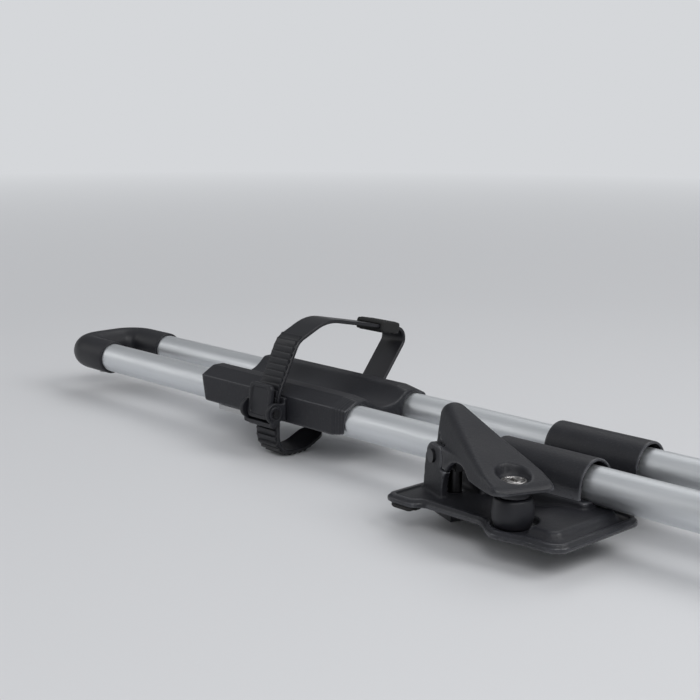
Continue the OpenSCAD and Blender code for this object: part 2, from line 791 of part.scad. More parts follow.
// Rim pad: a rubber sleeve on the strap's straight run beside the far bend
rim_pad_side = 2;
rim_pad_r = 2;
rim_pad_gap = 1;
module rim_pad() {
    run_way = unit(strap_points[2] - strap_points[1]);
    bend = tangent(strap_points[0], strap_points[1], strap_points[2], strap_radii[0]);
    middle = strap_points[1] + run_way * (bend + rim_pad_gap + rim_pad_l / 2);
    slope = atan2(run_way[1], run_way[0]);
    color(rubber) difference() {
        translate([strap_x, 0, 0]) along(strap_w + 2 * rim_pad_side) translate(middle) rotate(slope)
            round_rect(-rim_pad_l / 2, -rim_pad_t / 2, rim_pad_l / 2, rim_pad_t / 2, rim_pad_r);
        translate([strap_x, 0, 0]) along(strap_w + 2 * fit) translate(middle) rotate(slope)
            square([2 * rim_pad_l, strap_t + 2 * fit], center = true);
    }
}

// Buckle: a frame riveted to the holder's side, a sprung grip, its pin and its spring
module at_flush_rivets() {
    for (s = [-1, 1]) translate([strap_x + s * flush_x, -holder_y, flush_z]) children();
}

module buckle_frame() {
    chin_top = buckle_z - norm([barrel_r, lip_l]) - chin_gap;
    color(black) difference() {
        translate([strap_x, 0, 0]) {
            translate([-buckle_out, back_y, holder_base_z + frame_inset])
                cube([2 * buckle_out, cheek_t, shoulder_z - holder_base_z - 2 * frame_inset]);
            for (s = [-1, 1]) translate([s * (buckle_in + cheek_t / 2), 0, 0]) along(cheek_t) {
                translate([buckle_y, buckle_z]) circle(cheek_r);
                translate([buckle_y, buckle_z - cheek_r + frame_inset])
                    square([back_y - buckle_y + cheek_t / 2, 2 * (cheek_r - frame_inset)]);
                translate([buckle_y - barrel_r, chin_top - chin_h / 2]) square([2 * barrel_r, chin_h]);
            }
            // Chin below the grip, in front of the strap
            along(2 * buckle_out) polygon([[buckle_y - barrel_r, chin_top], [teeth_y - slide, chin_top],
                [teeth_y - slide, chin_top - chin_h], [buckle_y, chin_top - chin_h],
                [buckle_y - barrel_r, chin_top - chin_h / 2]]);
        }
        translate([strap_x, buckle_y, buckle_z]) rod_x(buckle_pin_r + fit, -2 * strap_w, 2 * strap_w);
        at_flush_rivets() {
            rod_y(flush_r + fit, -cheek_t - over, over);
            rod_y(flush_head_r + fit, -cheek_t - over, -cheek_t + flush_head_t);
        }
    }
}

module buckle_rivets() {
    color(steel) at_flush_rivets() {
        rod_y(flush_r, -cheek_t, flush_l);
        rod_y(flush_head_r, -cheek_t, -cheek_t + flush_head_t);
    }
}

module buckle_lever() {
    half = buckle_in - slide;
    color(black) translate([strap_x, buckle_y, buckle_z]) difference() {
        union() {
            rod_x(barrel_r, -half, half);
            along(2 * half) {
                polygon([[-barrel_r, 0], [0, 0], [grip_lean + grip_t - barrel_r, grip_h],
                    [grip_lean - barrel_r, grip_h]]);
                translate([grip_lean + grip_t / 2 - barrel_r, grip_h]) circle(grip_t / 2);
                polygon([[-barrel_r, 0], [-barrel_r, -lip_l], [lip_in - barrel_r, -lip_l], [0, 0]]);
            }
        }
        rod_x(buckle_pin_r + run, -strap_w, strap_w);
        // Room for the spring
        rod_x(spring_r + spring_wire / 2 + spring_gap, -spring_l / 2 - spring_wire,
            spring_l / 2 + spring_wire);
    }
}

module buckle_pin() {
    color(steel) translate([strap_x, buckle_y, buckle_z]) {
        rod_x(buckle_pin_r, -buckle_out, buckle_out);
        rod_x(2 * buckle_pin_r, buckle_out, buckle_out + boss_head_t);
    }
}

// Torsion spring: one swept wire round the buckle pin
function helix(t) =
    [(t - spring_turns / 2) * spring_pitch, spring_r * cos(360 * t), spring_r * sin(360 * t)];
function wire_frame(t) =
    let (d = unit(helix(t + 0.01) - helix(t - 0.01)), n = [0, cos(360 * t), sin(360 * t)]) [n, cross(d, n)];

module buckle_spring() {
    count = spring_turns * rings_per_turn;
    last = count * ring_sides;
    points = [for (i = [0:count], k = [0:ring_sides - 1])
        let (t = i / rings_per_turn, f = wire_frame(t), a = 360 * k / ring_sides)
        helix(t) + spring_wire / 2 * (f[0] * cos(a) + f[1] * sin(a))];
    sides = [for (i = [0:count - 1], k = [0:ring_sides - 1])
        let (a = i * ring_sides + k, b = i * ring_sides + (k + 1) % ring_sides)
        each [[a, a + ring_sides, b], [b, a + ring_sides, b + ring_sides]]];
    caps = [for (k = [1:ring_sides - 2]) each [[0, k, k + 1], [last, last + k + 1, last + k]]];
    color(steel) translate([strap_x, buckle_y, buckle_z]) polyhedron(points, concat(sides, caps));
}

// Fork clamp: a block on the tubes, a pillar, and the barrel that the fork ends straddle
module fork_clamp() {
    foot_half = head_l / 2 - pillar_inset;
    color(black) difference() {
        union() {
            rail_block(axle_x - head_l / 2, axle_x + head_l / 2, fit);
            translate([axle_x, 0, 0]) across(pillar_w) polygon([[-foot_half, crest_z - over],
                [foot_half, crest_z - over], [hub_r - over, axle_z], [over - hub_r, axle_z]]);
            translate([axle_x, 0, axle_z]) rod_y(hub_r, -hub_half + washer_t, hub_half - washer_t);
        }
        translate([axle_x, 0, axle_z]) rod_y(rod_r + slide, -hub_half - over, hub_half + over);
        for (x = head_screw_x) translate([x, 0, holder_base_z - over])
            cylinder(r = clamp_screw_r + fit, h = clamp_bite + 2 * over);
    }
}

module fork_clamp_plate() {
    half = head_l / 2 - clamp_edge;
    color(steel) translate([0, 0, tube_low - clamp_t]) difference() {
        translate([axle_x, 0, 0]) linear_extrude(clamp_t)
            round_rect(-half, -tube_y - clamp_edge, half, tube_y + clamp_edge, clamp_r);
        for (x = head_screw_x) translate([x, 0, 0]) hole_z(clamp_screw_r + fit, 0, clamp_t);
    }
}

module fork_clamp_screws() {
    seat = tube_low - clamp_t;
    color(steel) for (x = head_screw_x) translate([x, 0, seat]) rotate([180, 0, 0])
        socket_screw(clamp_screw_r, holder_base_z - seat + clamp_bite);
}

module fork_washers() {
    color(steel) translate([axle_x, 0, axle_z]) for (s = [-1, 1]) difference() {
        translate([0, s * (hub_half - washer_t / 2), 0]) rod_y(hub_r, -washer_t / 2, washer_t / 2);
        rod_y(rod_r + slide, -hub_half - over, hub_half + over);
    }
}

// Skewer: a rod with an eye, a cam collar, a lever with two cams, a cross pin and a nut
module skewer_rod() {
    color(steel) translate([axle_x, 0, axle_z]) difference() {
        union() {
            rod_y(rod_r, -skewer_pivot, clamp_face + nut_t + rod_end);
            translate([0, -skewer_pivot, 0]) rod_x(eye_r, -eye_w / 2, eye_w / 2);
        }
        translate([0, -skewer_pivot, 0]) rod_x(skewer_pin_r + fit, -eye_w, eye_w);
    }
}

module skewer_collar() {
    color(silver) translate([axle_x, 0, axle_z]) difference() {
        rod_y(collar_r, -clamp_face - collar_t, -clamp_face);
        rod_y(rod_r + slide, -clamp_face - collar_t - over, over - clamp_face);
    }
}

module skewer_lever() {
    color(silver) translate([axle_x, -skewer_pivot, axle_z]) difference() {
        union() {
            for (s = [-1, 1]) translate([s * cam_x, 0, 0]) {
                translate([0, skewer_throw, 0]) rod_x(cam_r, -cam_w / 2, cam_w / 2);
                translate([-cam_w / 2, -web_back, 0]) cube([cam_w, web_back + web_front, neck_z + web_lap]);
            }
            hull() {
                translate([0, -paddle_lean, neck_z])
                    rod_x(neck_r, -skewer_half, skewer_half, $fn = hull_fn);
                translate([0, paddle_lean, skewer_l - paddle_r])
                    rod_x(paddle_r, -paddle_half, paddle_half, $fn = hull_fn);
            }
        }
        rod_x(skewer_pin_r + run, -hub_r, hub_r);
    }
}

module skewer_pin() {
    color(steel) translate([axle_x, -skewer_pivot, axle_z]) rod_x(skewer_pin_r, -skewer_half, skewer_half);
}

module skewer_nut() {
    color(black) translate([axle_x, clamp_face, axle_z]) rotate([-90, 0, 0]) difference() {
        cylinder(r = nut_r, h = nut_t);
        hole_z(rod_r + run, 0, nut_t);
        for (k = [0:nut_grips - 1]) rotate([0, 0, 360 * k / nut_grips])
            translate([nut_r + grip_flute_r / 2, 0, nut_t / 4]) cylinder(r = grip_flute_r, h = nut_t);
    }
}

tube(-1);  // right_tube
tube(1);  // left_tube
end_loop(-rear_over, 0);  // rear_end_loop
end_loop(tube_front, 180);  // front_end_loop
loop_rivets(-rear_over, 1);  // rear_loop_rivets
loop_rivets(tube_front, -1);  // front_loop_rivets
foot_plate(false);  // rear_foot_plate
foot_pad(false);  // rear_foot_pad
tube_saddle(false);  // rear_tube_saddle
saddle_bolts(false);  // rear_saddle_bolts
lever_pin(false);  // rear_lever_pin
clamp_lever(false);  // rear_clamp_lever
lock_core(false);  // rear_lock_core
lock_post(false);  // rear_lock_post
slot_bolt(false);  // rear_slot_bolt
foot_plate(true);  // front_foot_plate
foot_pad(true);  // front_foot_pad
tube_saddle(true);  // front_tube_saddle
saddle_bolts(true);  // front_saddle_bolts
lever_pin(true);  // front_lever_pin
clamp_lever(true);  // front_clamp_lever
lock_core(true);  // front_lock_core
lock_post(true);  // front_lock_post
slot_bolt(true);  // front_slot_bolt
wheel_holder();
holder_clamp_plate();
holder_clamp_screw();
wheel_strap();
strap_pin();
rim_pad();
buckle_frame();
buckle_rivets();
buckle_lever();
buckle_pin();
buckle_spring();
fork_clamp();
fork_clamp_plate();
fork_clamp_screws();
fork_washers();
skewer_rod();
skewer_collar();
skewer_lever();
skewer_pin();
skewer_nut();
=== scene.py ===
"""Looks of a roof mounted bike carrier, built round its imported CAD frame.

Pieces are worked out in millimetres, in the frame of the CAD, and written in metres.
The moulded ones are distance fields, turned into meshes by surface nets.
"""
import json
import math

import bpy
import numpy as np
from mathutils import Matrix, Vector


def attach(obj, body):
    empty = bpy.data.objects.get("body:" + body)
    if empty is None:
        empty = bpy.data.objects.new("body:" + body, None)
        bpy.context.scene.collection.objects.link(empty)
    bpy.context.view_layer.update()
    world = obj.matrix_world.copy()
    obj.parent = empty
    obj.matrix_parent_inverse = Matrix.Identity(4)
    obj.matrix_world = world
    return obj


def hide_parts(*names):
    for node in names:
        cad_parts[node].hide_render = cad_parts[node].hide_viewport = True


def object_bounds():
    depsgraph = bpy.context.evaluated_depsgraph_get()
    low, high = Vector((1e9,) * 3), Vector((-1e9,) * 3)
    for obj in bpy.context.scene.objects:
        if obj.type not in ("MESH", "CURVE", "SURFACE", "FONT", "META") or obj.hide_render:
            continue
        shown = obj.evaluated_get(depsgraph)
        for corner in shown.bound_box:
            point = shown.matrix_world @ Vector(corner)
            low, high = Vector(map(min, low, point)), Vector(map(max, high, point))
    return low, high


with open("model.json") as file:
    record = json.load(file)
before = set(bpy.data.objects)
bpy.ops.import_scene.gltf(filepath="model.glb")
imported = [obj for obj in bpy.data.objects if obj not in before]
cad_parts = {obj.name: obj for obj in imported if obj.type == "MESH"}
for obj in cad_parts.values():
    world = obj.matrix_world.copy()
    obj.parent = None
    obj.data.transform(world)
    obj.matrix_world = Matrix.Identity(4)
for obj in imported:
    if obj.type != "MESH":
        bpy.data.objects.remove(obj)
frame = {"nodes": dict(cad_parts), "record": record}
NODES = frame["nodes"]
CAD_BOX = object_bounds()
MM = 0.001

# Main sizes of the CAD, in millimetres
BAR_GAP = 760
TUBE_R, TUBE_Y, TUBE_Z = 9.75, 24, 18.5
YAW = math.radians(22)
PIVOT_Y, PIVOT_Z = -49.5, 25
LEVER_L, LEVER_W, LEVER_LOW, GRIP_LOW = 75, 34, 20.4, 23.8
ARCH = (31.15, 8.3, 20)
POST_U, POST_R, POST_H = 62.5, 10.5, 15
CORE_R, CORE_H, CORE_Z = 6.5, 8, 24.4
RECESS_LOW = 28.6
PLATE_REAR, PLATE_FRONT, PLATE_RIGHT, PLATE_LEFT = -18.5, 95, -85, 39.45
RIM_TOP, SEAT_TOP = 5, 12.75
PAD_REAR, PAD_FRONT, PAD_RIGHT, PAD_LEFT = -16.5, 28, -83, 37.45
SADDLE_REAR, SADDLE_FRONT, FLANGE_T = 11, 71, 1.5
SADDLE_SCREWS = (24.33, 57.67)
LOOP_R, LOOP_BEND, LOOP_MOUTH = 11.4, 16, -346.0
LOOPS_SUM = 621.0
HOLDER_REAR, HOLDER_FRONT, HOLDER_TOP = -232, -98, 32.5
STRAP_X, STRAP_W, STRAP_T = -159, 20, 2.2
ANCHOR_Y = 42.11
TOOTH_PITCH, TOOTH_H = 4.0, 1.2
BUCKLE_Y, BUCKLE_Z = -45.75, 18
AXLE_X, AXLE_Z, AXLE_HOLE = 910, 84, 2.85
FORK_HALF = 35
CAM_Y = -73.35


# Camera at the photograph's view
def add_camera():
    data = bpy.data.cameras.new("camera")
    data.lens = 70.12
    data.sensor_width = 36
    data.clip_end = 50
    right = (0.69657, 0.71744, 0.00849)
    up = (-0.14762, 0.13174, 0.98023)
    look = (-0.70214, 0.68405, -0.19768)
    place = (0.45102, -0.56576, 0.21688)
    rows = [(right[k], up[k], -look[k], place[k]) for k in range(3)]
    cam = bpy.data.objects.new("camera", data)
    cam.matrix_world = Matrix(rows + [(0, 0, 0, 1)])
    bpy.context.scene.collection.objects.link(cam)
    bpy.context.scene.camera = cam


# Materials
def add_node(tree, kind, **values):
    node = tree.nodes.new(kind)
    for key, value in values.items():
        setattr(node, key, value)
    return node


def noise(tree, coords, scale, detail, stretch):
    mapping = add_node(tree, "ShaderNodeMapping")
    mapping.inputs["Scale"].default_value = stretch
    tree.links.new(coords, mapping.inputs["Vector"])
    node = add_node(tree, "ShaderNodeTexNoise")
    node.inputs["Scale"].default_value = scale
    node.inputs["Detail"].default_value = detail
    tree.links.new(mapping.outputs["Vector"], node.inputs["Vector"])
    return node.outputs["Fac"]


def spread(tree, value, low, high, start=0.3, end=0.7):
    """Takes the range from start to end to the range from low to high."""
    node = add_node(tree, "ShaderNodeMapRange")
    limits = {"From Min": start, "From Max": end, "To Min": low, "To Max": high}
    for key, number in limits.items():
        node.inputs[key].default_value = number
    tree.links.new(value, node.inputs["Value"])
    return node.outputs["Result"]


def mixed(tree, factor, first, second):
    """A colour between two others, each a tuple or the output of a node."""
    node = add_node(tree, "ShaderNodeMix", data_type="RGBA")
    tree.links.new(factor, node.inputs["Factor"])
    for key, value in (("A", first), ("B", second)):
        socket = [s for s in node.inputs if s.name == key and s.type == "RGBA"][0]
        if isinstance(value, tuple):
            socket.default_value = (*value, 1)
        else:
            tree.links.new(value, socket)
    return [s for s in node.outputs if s.type == "RGBA"][0]


EVEN = (1, 1, 1)
PATCHES = 45
EDGE_ROUGHNESS = 0.26


def material(name, dark, light, rough, metal, grain, bump, edge_highlight=None, stretch=EVEN, speck=None):
    """A procedural finish: cloudy colour, uneven gloss and a fine grain.

    rough is the least and greatest roughness, grain the grains in a metre and bump their depth
    in metres. edge_highlight is the colour of a painted highlight on sharp edges, and speck that
    of the grain's high points.
    """
    mat = bpy.data.materials.new(name)
    mat.use_nodes = True
    tree = mat.node_tree
    shader = tree.nodes["Principled BSDF"]
    shader.inputs["Metallic"].default_value = metal
    shader.inputs["Specular IOR Level"].default_value = 0.5 if metal else 0.42
    coords = add_node(tree, "ShaderNodeTexCoord").outputs["Object"]
    cloud = noise(tree, coords, PATCHES, 4.0, stretch)
    fine = noise(tree, coords, grain, 2.0, stretch)
    colour = mixed(tree, spread(tree, cloud, 0, 1), dark, light)
    gloss = spread(tree, cloud if stretch == EVEN else fine, rough[0], rough[1])
    # Painted highlight: sharp edges, found by pointiness, take a pale colour and a lower
    # roughness
    if edge_highlight:
        edge = add_node(tree, "ShaderNodeNewGeometry").outputs["Pointiness"]
        colour = mixed(tree, spread(tree, edge, 0, 1, 0.52, 0.62), colour, edge_highlight)
        polish = add_node(tree, "ShaderNodeMix", data_type="FLOAT")
        tree.links.new(spread(tree, edge, 0, 1, 0.503, 0.535), polish.inputs["Factor"])
        tree.links.new(gloss, polish.inputs["A"])
        polish.inputs["B"].default_value = EDGE_ROUGHNESS
        gloss = polish.outputs["Result"]
    if speck:
        colour = mixed(tree, spread(tree, fine, 0, 0.6, 0.60, 0.76), colour, speck)
    tree.links.new(colour, shader.inputs["Base Color"])
    tree.links.new(gloss, shader.inputs["Roughness"])
    bumps = add_node(tree, "ShaderNodeBump")
    bumps.inputs["Strength"].default_value = 1
    bumps.inputs["Distance"].default_value = bump
    tree.links.new(fine, bumps.inputs["Height"])
    tree.links.new(bumps.outputs["Normal"], shader.inputs["Normal"])
    return mat


LOOKS = {
    "anodised_tube": {
        "dark": (0.68, 0.70, 0.72), "light": (0.75, 0.77, 0.79), "rough": (0.44, 0.56),
        "metal": 1.0, "grain": 900, "bump": 0.000006, "stretch": (0.03, 1, 1)},
    "grained_black": {
        "dark": (0.010, 0.0104, 0.0140), "light": (0.016, 0.0165, 0.0210), "rough": (0.50, 0.62),
        # The pale edge colour on the next line is a painted highlight on sharp edges
        "metal": 0.0, "grain": 950, "bump": 0.00016, "edge_highlight": (0.20, 0.204, 0.22),
        "speck": (0.034, 0.035, 0.040)},
    "smooth_black": {
        "dark": (0.009, 0.0093, 0.0125), "light": (0.014, 0.0144, 0.0185), "rough": (0.42, 0.54),
        "metal": 0.0, "grain": 2200, "bump": 0.000015},
    "strap_black": {
        "dark": (0.008, 0.0083, 0.0110), "light": (0.013, 0.0133, 0.0170), "rough": (0.36, 0.48),
        "metal": 0.0, "grain": 900, "bump": 0.00002},
    "rubber": {
        "dark": (0.009, 0.009, 0.009), "light": (0.016, 0.016, 0.016), "rough": (0.62, 0.78),
        "metal": 0.0, "grain": 1800, "bump": 0.00005},
    "steel": {
        "dark": (0.34, 0.34, 0.35), "light": (0.46, 0.46, 0.46), "rough": (0.26, 0.38),
        "metal": 1.0, "grain": 1500, "bump": 0.000006},
    "dark_steel": {
        "dark": (0.06, 0.06, 0.065), "light": (0.10, 0.10, 0.105), "rough": (0.34, 0.46),
        "metal": 1.0, "grain": 1500, "bump": 0.00001},
    "lock_metal": {
        "dark": (0.30, 0.29, 0.285), "light": (0.42, 0.41, 0.40), "rough": (0.28, 0.40),
        "metal": 1.0, "grain": 1200, "bump": 0.000012},
    "polished_alloy": {
        "dark": (0.62, 0.63, 0.64), "light": (0.70, 0.71, 0.72), "rough": (0.14, 0.24),
        "metal": 1.0, "grain": 900, "bump": 0.000004},
}
FINISH = {name: material(name, **look) for name, look in LOOKS.items()}


def dress_cad_nodes():
    """Every CAD node takes the finish that its slot in the record names."""
    for row in frame["record"]["subparts"]:
        slots = NODES[row["node"]].data.materials
        slots.clear()
        slots.append(FINISH[row["material_slot"]])


# Distance fields, in millimetres: negative inside
def grid(low, high, step):
    low = np.array(low, float) - 2 * step
    count = np.ceil((np.array(high, float) + 2 * step - low) / step).astype(int) + 1
    axes = [low[k] + step * np.arange(count[k]) for k in range(3)]
    return low, np.meshgrid(*axes, indexing="ij", sparse=True)


def join(a, b, k):
    """Union with a fillet of about k."""
    h = np.clip(0.5 + 0.5 * (b - a) / k, 0, 1)
    return b + (a - b) * h - k * h * (1 - h)


def meet(a, b, k):
    """Intersection with its edges rounded by about k."""
    return -join(-a, -b, k)


def cut(a, b, k):
    """What is left of a outside b, with its edges rounded by about k."""
    return meet(a, -b, k)


def corner(p, q, r):
    inside = np.minimum(np.maximum(p, q), 0)
    return inside + np.hypot(np.maximum(p, 0), np.maximum(q, 0)) - r


def slab(outline, t, half, r):
    """An outline's field, extruded by half each way along t, with edges rounded by r."""
    return corner(outline + r, np.abs(t) - half + r, r)


def rect(x, y, x0, y0, x1, y1, r):
    across = np.abs(x - (x0 + x1) / 2) - (x1 - x0) / 2
    along = np.abs(y - (y0 + y1) / 2) - (y1 - y0) / 2
    return corner(across + r, along + r, r)


def disc(x, y, cx, cy, r):
    return np.hypot(x - cx, y - cy) - r


def poly(x, y, points):
    """Signed distance to a polygon."""
    near, sign = np.inf, 1.0
    for (x0, y0), (x1, y1) in zip(points, points[1:] + points[:1]):
        ex, ey, wx, wy = x1 - x0, y1 - y0, x - x0, y - y0
        t = np.clip((wx * ex + wy * ey) / (ex * ex + ey * ey), 0, 1)
        near = np.minimum(near, (wx - ex * t) ** 2 + (wy - ey * t) ** 2)
        above, below, left = wy >= 0, y < y1, ex * wy > ey * wx
        flip = (above & below & left) | ~(above | below | left)
        sign = np.where(flip, -sign, sign)
    return sign * np.sqrt(near)


def arc(cx, cy, r, start, end, steps=8):
    turn = np.radians(np.linspace(start, end, steps + 1))
    return [(cx + r * math.cos(a), cy + r * math.sin(a)) for a in turn]


def to_lever(x, y):
    """How far points lie along the clamp lever, and along its pin."""
    dy = y - PIVOT_Y
    return x * math.cos(YAW) - dy * math.sin(YAW), x * math.sin(YAW) + dy * math.cos(YAW)


def from_lever(mesh):
    """Takes a mesh from the clamp lever's frame to the frame of the part."""
    verts, faces = mesh
    u, v, z = verts.T
    x = u * math.cos(YAW) + v * math.sin(YAW)
    y = PIVOT_Y - u * math.sin(YAW) + v * math.cos(YAW)
    return np.column_stack([x, y, z]), faces


# Meshes: each a pair of vertices and faces
def net_verts(low, step, field, active):
    """One vertex in each active cell, in the middle of the points where its edges are crossed."""
    cell = np.argwhere(active)
    total, hits = np.zeros((len(cell), 3)), np.zeros(len(cell))
    for start in np.ndindex(2, 2, 2):
        for axis in range(3):
            if start[axis]:
                continue
            first = cell + start
            second = first + np.eye(3, dtype=int)[axis]
            fa, fb = field[tuple(first.T)], field[tuple(second.T)]
            crossed = (fa < 0) != (fb < 0)
            t = fa[crossed] / (fa[crossed] - fb[crossed])
            point = np.tile(np.array(start, float), (len(t), 1))
            point[:, axis] += t
            total[crossed] += point
            hits[crossed] += 1
    return low + step * (cell + total / hits[:, None])


def nets(low, step, field):
    """Surface nets: one vertex in each crossed cell, one quad on each crossed grid edge."""
    inside = field < 0
    size = np.array(field.shape) - 1
    count = np.zeros(size, np.int8)
    for start in np.ndindex(2, 2, 2):
        count += inside[tuple(slice(s, s + n) for s, n in zip(start, size))]
    active = (count > 0) & (count < 8)
    index = np.full(active.shape, -1)
    index[active] = np.arange(active.sum())
    faces = []
    for axis in range(3):
        b, c = (axis + 1) % 3, (axis + 2) % 3
        here = [slice(1, -1)] * 3
        here[axis] = slice(0, -1)
        ahead = list(here)
        ahead[axis] = slice(1, None)
        at = np.argwhere(inside[tuple(here)] != inside[tuple(ahead)])
        at[:, b] += 1
        at[:, c] += 1
        back_b, back_c = np.eye(3, dtype=int)[b], np.eye(3, dtype=int)[c]
        ring = [at - back_b - back_c, at - back_c, at, at - back_b]
        quad = np.stack([index[tuple(r.T)] for r in ring], axis=1)
        out = inside[tuple(at.T)]
        faces.append(np.where(out[:, None], quad, quad[:, ::-1]))
    return net_verts(low, step, field, active), np.concatenate(faces)


def ring_faces(rows, count):
    """Quads between rows of count points each, every row closed to a ring."""
    faces = []
    for row in range(0, (rows - 1) * count, count):
        for k in range(count):
            ahead = (k + 1) % count
            faces.append((row + k, row + ahead, row + count + ahead, row + count + k))
    return faces


def capped_faces(rows, count):
    """Ring faces with a cap on the first row and on the last."""
    first = tuple(range(count))[::-1]
    last = tuple((rows - 1) * count + k for k in range(count))
    return ring_faces(rows, count) + [first, last]


def extruded(points, x0, x1, r):
    """A closed outline in Y and Z, extruded along X with its end edges rounded by r."""
    p = np.array(points)
    ahead, behind = np.roll(p, -1, 0) - p, p - np.roll(p, 1, 0)
    ahead /= np.linalg.norm(ahead, axis=1)[:, None]
    behind /= np.linalg.norm(behind, axis=1)[:, None]
    normal = np.stack([ahead[:, 1] + behind[:, 1], -ahead[:, 0] - behind[:, 0]], axis=1)
    normal /= np.maximum(1e-6, (normal ** 2).sum(1) / 2)[:, None]
    area = (p[:, 0] * np.roll(p[:, 1], -1) - p[:, 1] * np.roll(p[:, 0], -1)).sum()
    normal *= 1 if area > 0 else -1
    # Depth from the end and inset of each row; the last two keep the painted edge highlight,
    # which follows pointiness, to the ends
    start = [(0, r), (0.3 * r, 0.3 * r), (r, 0), (2 * r, 0), (4 * r, 0)]
    rows = [(x0 + depth, inset) for depth, inset in start]
    rows += [(x1 - depth, inset) for depth, inset in start[::-1]]
    verts = [np.column_stack([np.full(len(p), x), p - normal * inset]) for x, inset in rows]
    return np.concatenate(verts), capped_faces(len(rows), len(p))


def moved(mesh, offset):
    return mesh[0] + np.array(offset, float), mesh[1]


def together(meshes):
    """Several meshes as one."""
    starts = np.cumsum([0] + [len(verts) for verts, _ in meshes])
    faces = [np.array(f) + start for (_, f), start in zip(meshes, starts)]
    return np.concatenate([verts for verts, _ in meshes]), np.concatenate(faces)


def copies(mesh, offsets):
    return together([moved(mesh, offset) for offset in offsets])


def signed_volume(data):
    """Six times a mesh's volume, below zero where its faces look inward."""
    data.calc_loop_triangles()
    tri = np.zeros(len(data.loop_triangles) * 3, int)
    data.loop_triangles.foreach_get("vertices", tri)
    co = np.zeros(len(data.vertices) * 3)
    data.vertices.foreach_get("co", co)
    p = co.reshape(-1, 3)[tri.reshape(-1, 3)]
    return np.einsum("ij,ij->", p[:, 0], np.cross(p[:, 1], p[:, 2]))


def add_piece(name, mesh, slot, body, node, keep=1.0, sharp=None):
    """A mesh object that stands for a CAD node.

    keep is the share of its faces left after thinning, sharp the least angle of a hard edge.
    """
    verts, faces = mesh
    data = bpy.data.meshes.new(name)
    rows = [tuple(int(i) for i in f) for f in faces]
    data.from_pydata((np.array(verts) * MM).tolist(), [], rows)
    data.validate()
    obj = bpy.data.objects.new(name, data)
    bpy.context.scene.collection.objects.link(obj)
    if signed_volume(data) < 0:
        data.flip_normals()
    if keep < 1:
        thin = obj.modifiers.new("thin", "DECIMATE")
        thin.ratio = keep
        graph = bpy.context.evaluated_depsgraph_get()
        data = bpy.data.meshes.new_from_object(obj.evaluated_get(graph))
        obj.modifiers.clear()
        obj.data = data
    data.polygons.foreach_set("use_smooth", [True] * len(data.polygons))
    if sharp:
        data.set_sharp_from_angle(angle=math.radians(sharp))
    data.materials.append(FINISH[slot])
    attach(obj, body)
    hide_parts(node)


# Clamp lever, in its own frame: u along it, v along its pin
def lever_mesh():
    step = 0.7
    low, (u, v, z) = grid((-9, -18, 16), (76, 18, 51), step)
    wide = np.abs(v)
    post = np.hypot(u - POST_U, v)

    # Side view: a round heel, a straight back, a thin nose and the hub round the pin
    heel = arc(-2.2, 45.5, 6, 185, 72)
    back = [(29, 41.2), (60, 31.8)]
    nose = [(66, 30.0), (70, 28.7), (72.6, 27.4), (74.2, 26.0), (LEVER_L, 24.9), (74.7, 24.1),
            (74, GRIP_LOW)]
    hub = arc(0, PIVOT_Z, 8, -35, -180)
    side = poly(u, z, heel + back + nose + hub)

    # Top view: wider to the nose, and narrower at the top than low down
    top_z = 50.5 - 0.3 * np.clip(u, 0, 62)
    rise = np.clip((z - PIVOT_Z) / (top_z - PIVOT_Z), 0, 1)
    reach = np.clip(u, -8, 61)
    half_low = 9.5 + 0.1087 * (reach + 8)
    half_top = 6.2 + 0.169 * (np.clip(reach, -3, 61) + 3)
    half = half_low * (1 - rise) + half_top * rise
    soft = 1.6 + np.clip((z - 24) / 8, 0, 1) * (2.4 + 2.6 * np.clip(1 - u / 50, 0, 1))
    body = meet(side, wide - half, soft)
    nose_round = 9 - 4 * np.clip(v / 8, 0, 1)
    body = meet(body, meet(u - LEVER_L, wide - LEVER_W / 2, nose_round), 1.6)

    # Walls, the hollow between them, the arch through them and the boss round the lock
    rear, front = 9.2, 46.7
    walls = slab(rect(u, z, rear, LEVER_LOW, front, 31.9, 1.0), v, 13, 1.0)
    body = join(body, walls, 1.2)
    body = cut(body, slab(rect(u, z, rear, 5, front, 30.4, 2.5), v, 9.5, 1), 0.8)
    boss_r = 8.2
    body = cut(body, disc(u, z, *ARCH), 1.0)
    under_grip = np.maximum(np.maximum(ARCH[0] - u, z - GRIP_LOW), boss_r - post)
    body = cut(body, under_grip, 1.0)
    body = join(body, slab(post - boss_r, z - 23, 23 - LEVER_LOW, 0.3), 0.8)

    # Room for the plate's ears as the lever swings, and for the bolt's yoke on the eccentric
    swing = np.minimum(0.731 * (z - PIVOT_Z) - 0.682 * u, u)
    swept = np.maximum(disc(u, z, 0, PIVOT_Z, 10.94), swing)
    ears = np.minimum(disc(u, z, 0, PIVOT_Z, 8.4), swept)
    body = cut(body, np.maximum(ears, 7.85 - wide), 0.6)
    yoke_half = 4.7
    yoke = np.minimum(disc(u, z, 0, PIVOT_Z, 14.3), np.maximum(u, z - PIVOT_Z))
    body = cut(body, np.maximum(yoke, wide - yoke_half), 0.6)
    body = np.minimum(body, np.maximum(disc(u, z, 0, PIVOT_Z + 1.2, 5.5), wide - yoke_half))

    # Holes for the pin and the lock, and the flared recess over the lock
    body = cut(body, disc(u, z, 0, PIVOT_Z, 3.06), 0.3)
    body = cut(body, post - CORE_R - 0.06 + 0 * z, 0.3)
    flare = 0.94 * (post - 7.7 - 0.35 * (z - RECESS_LOW))
    body = cut(body, np.maximum(flare, RECESS_LOW - z), 1.0)
    return from_lever(nets(low, step, body))


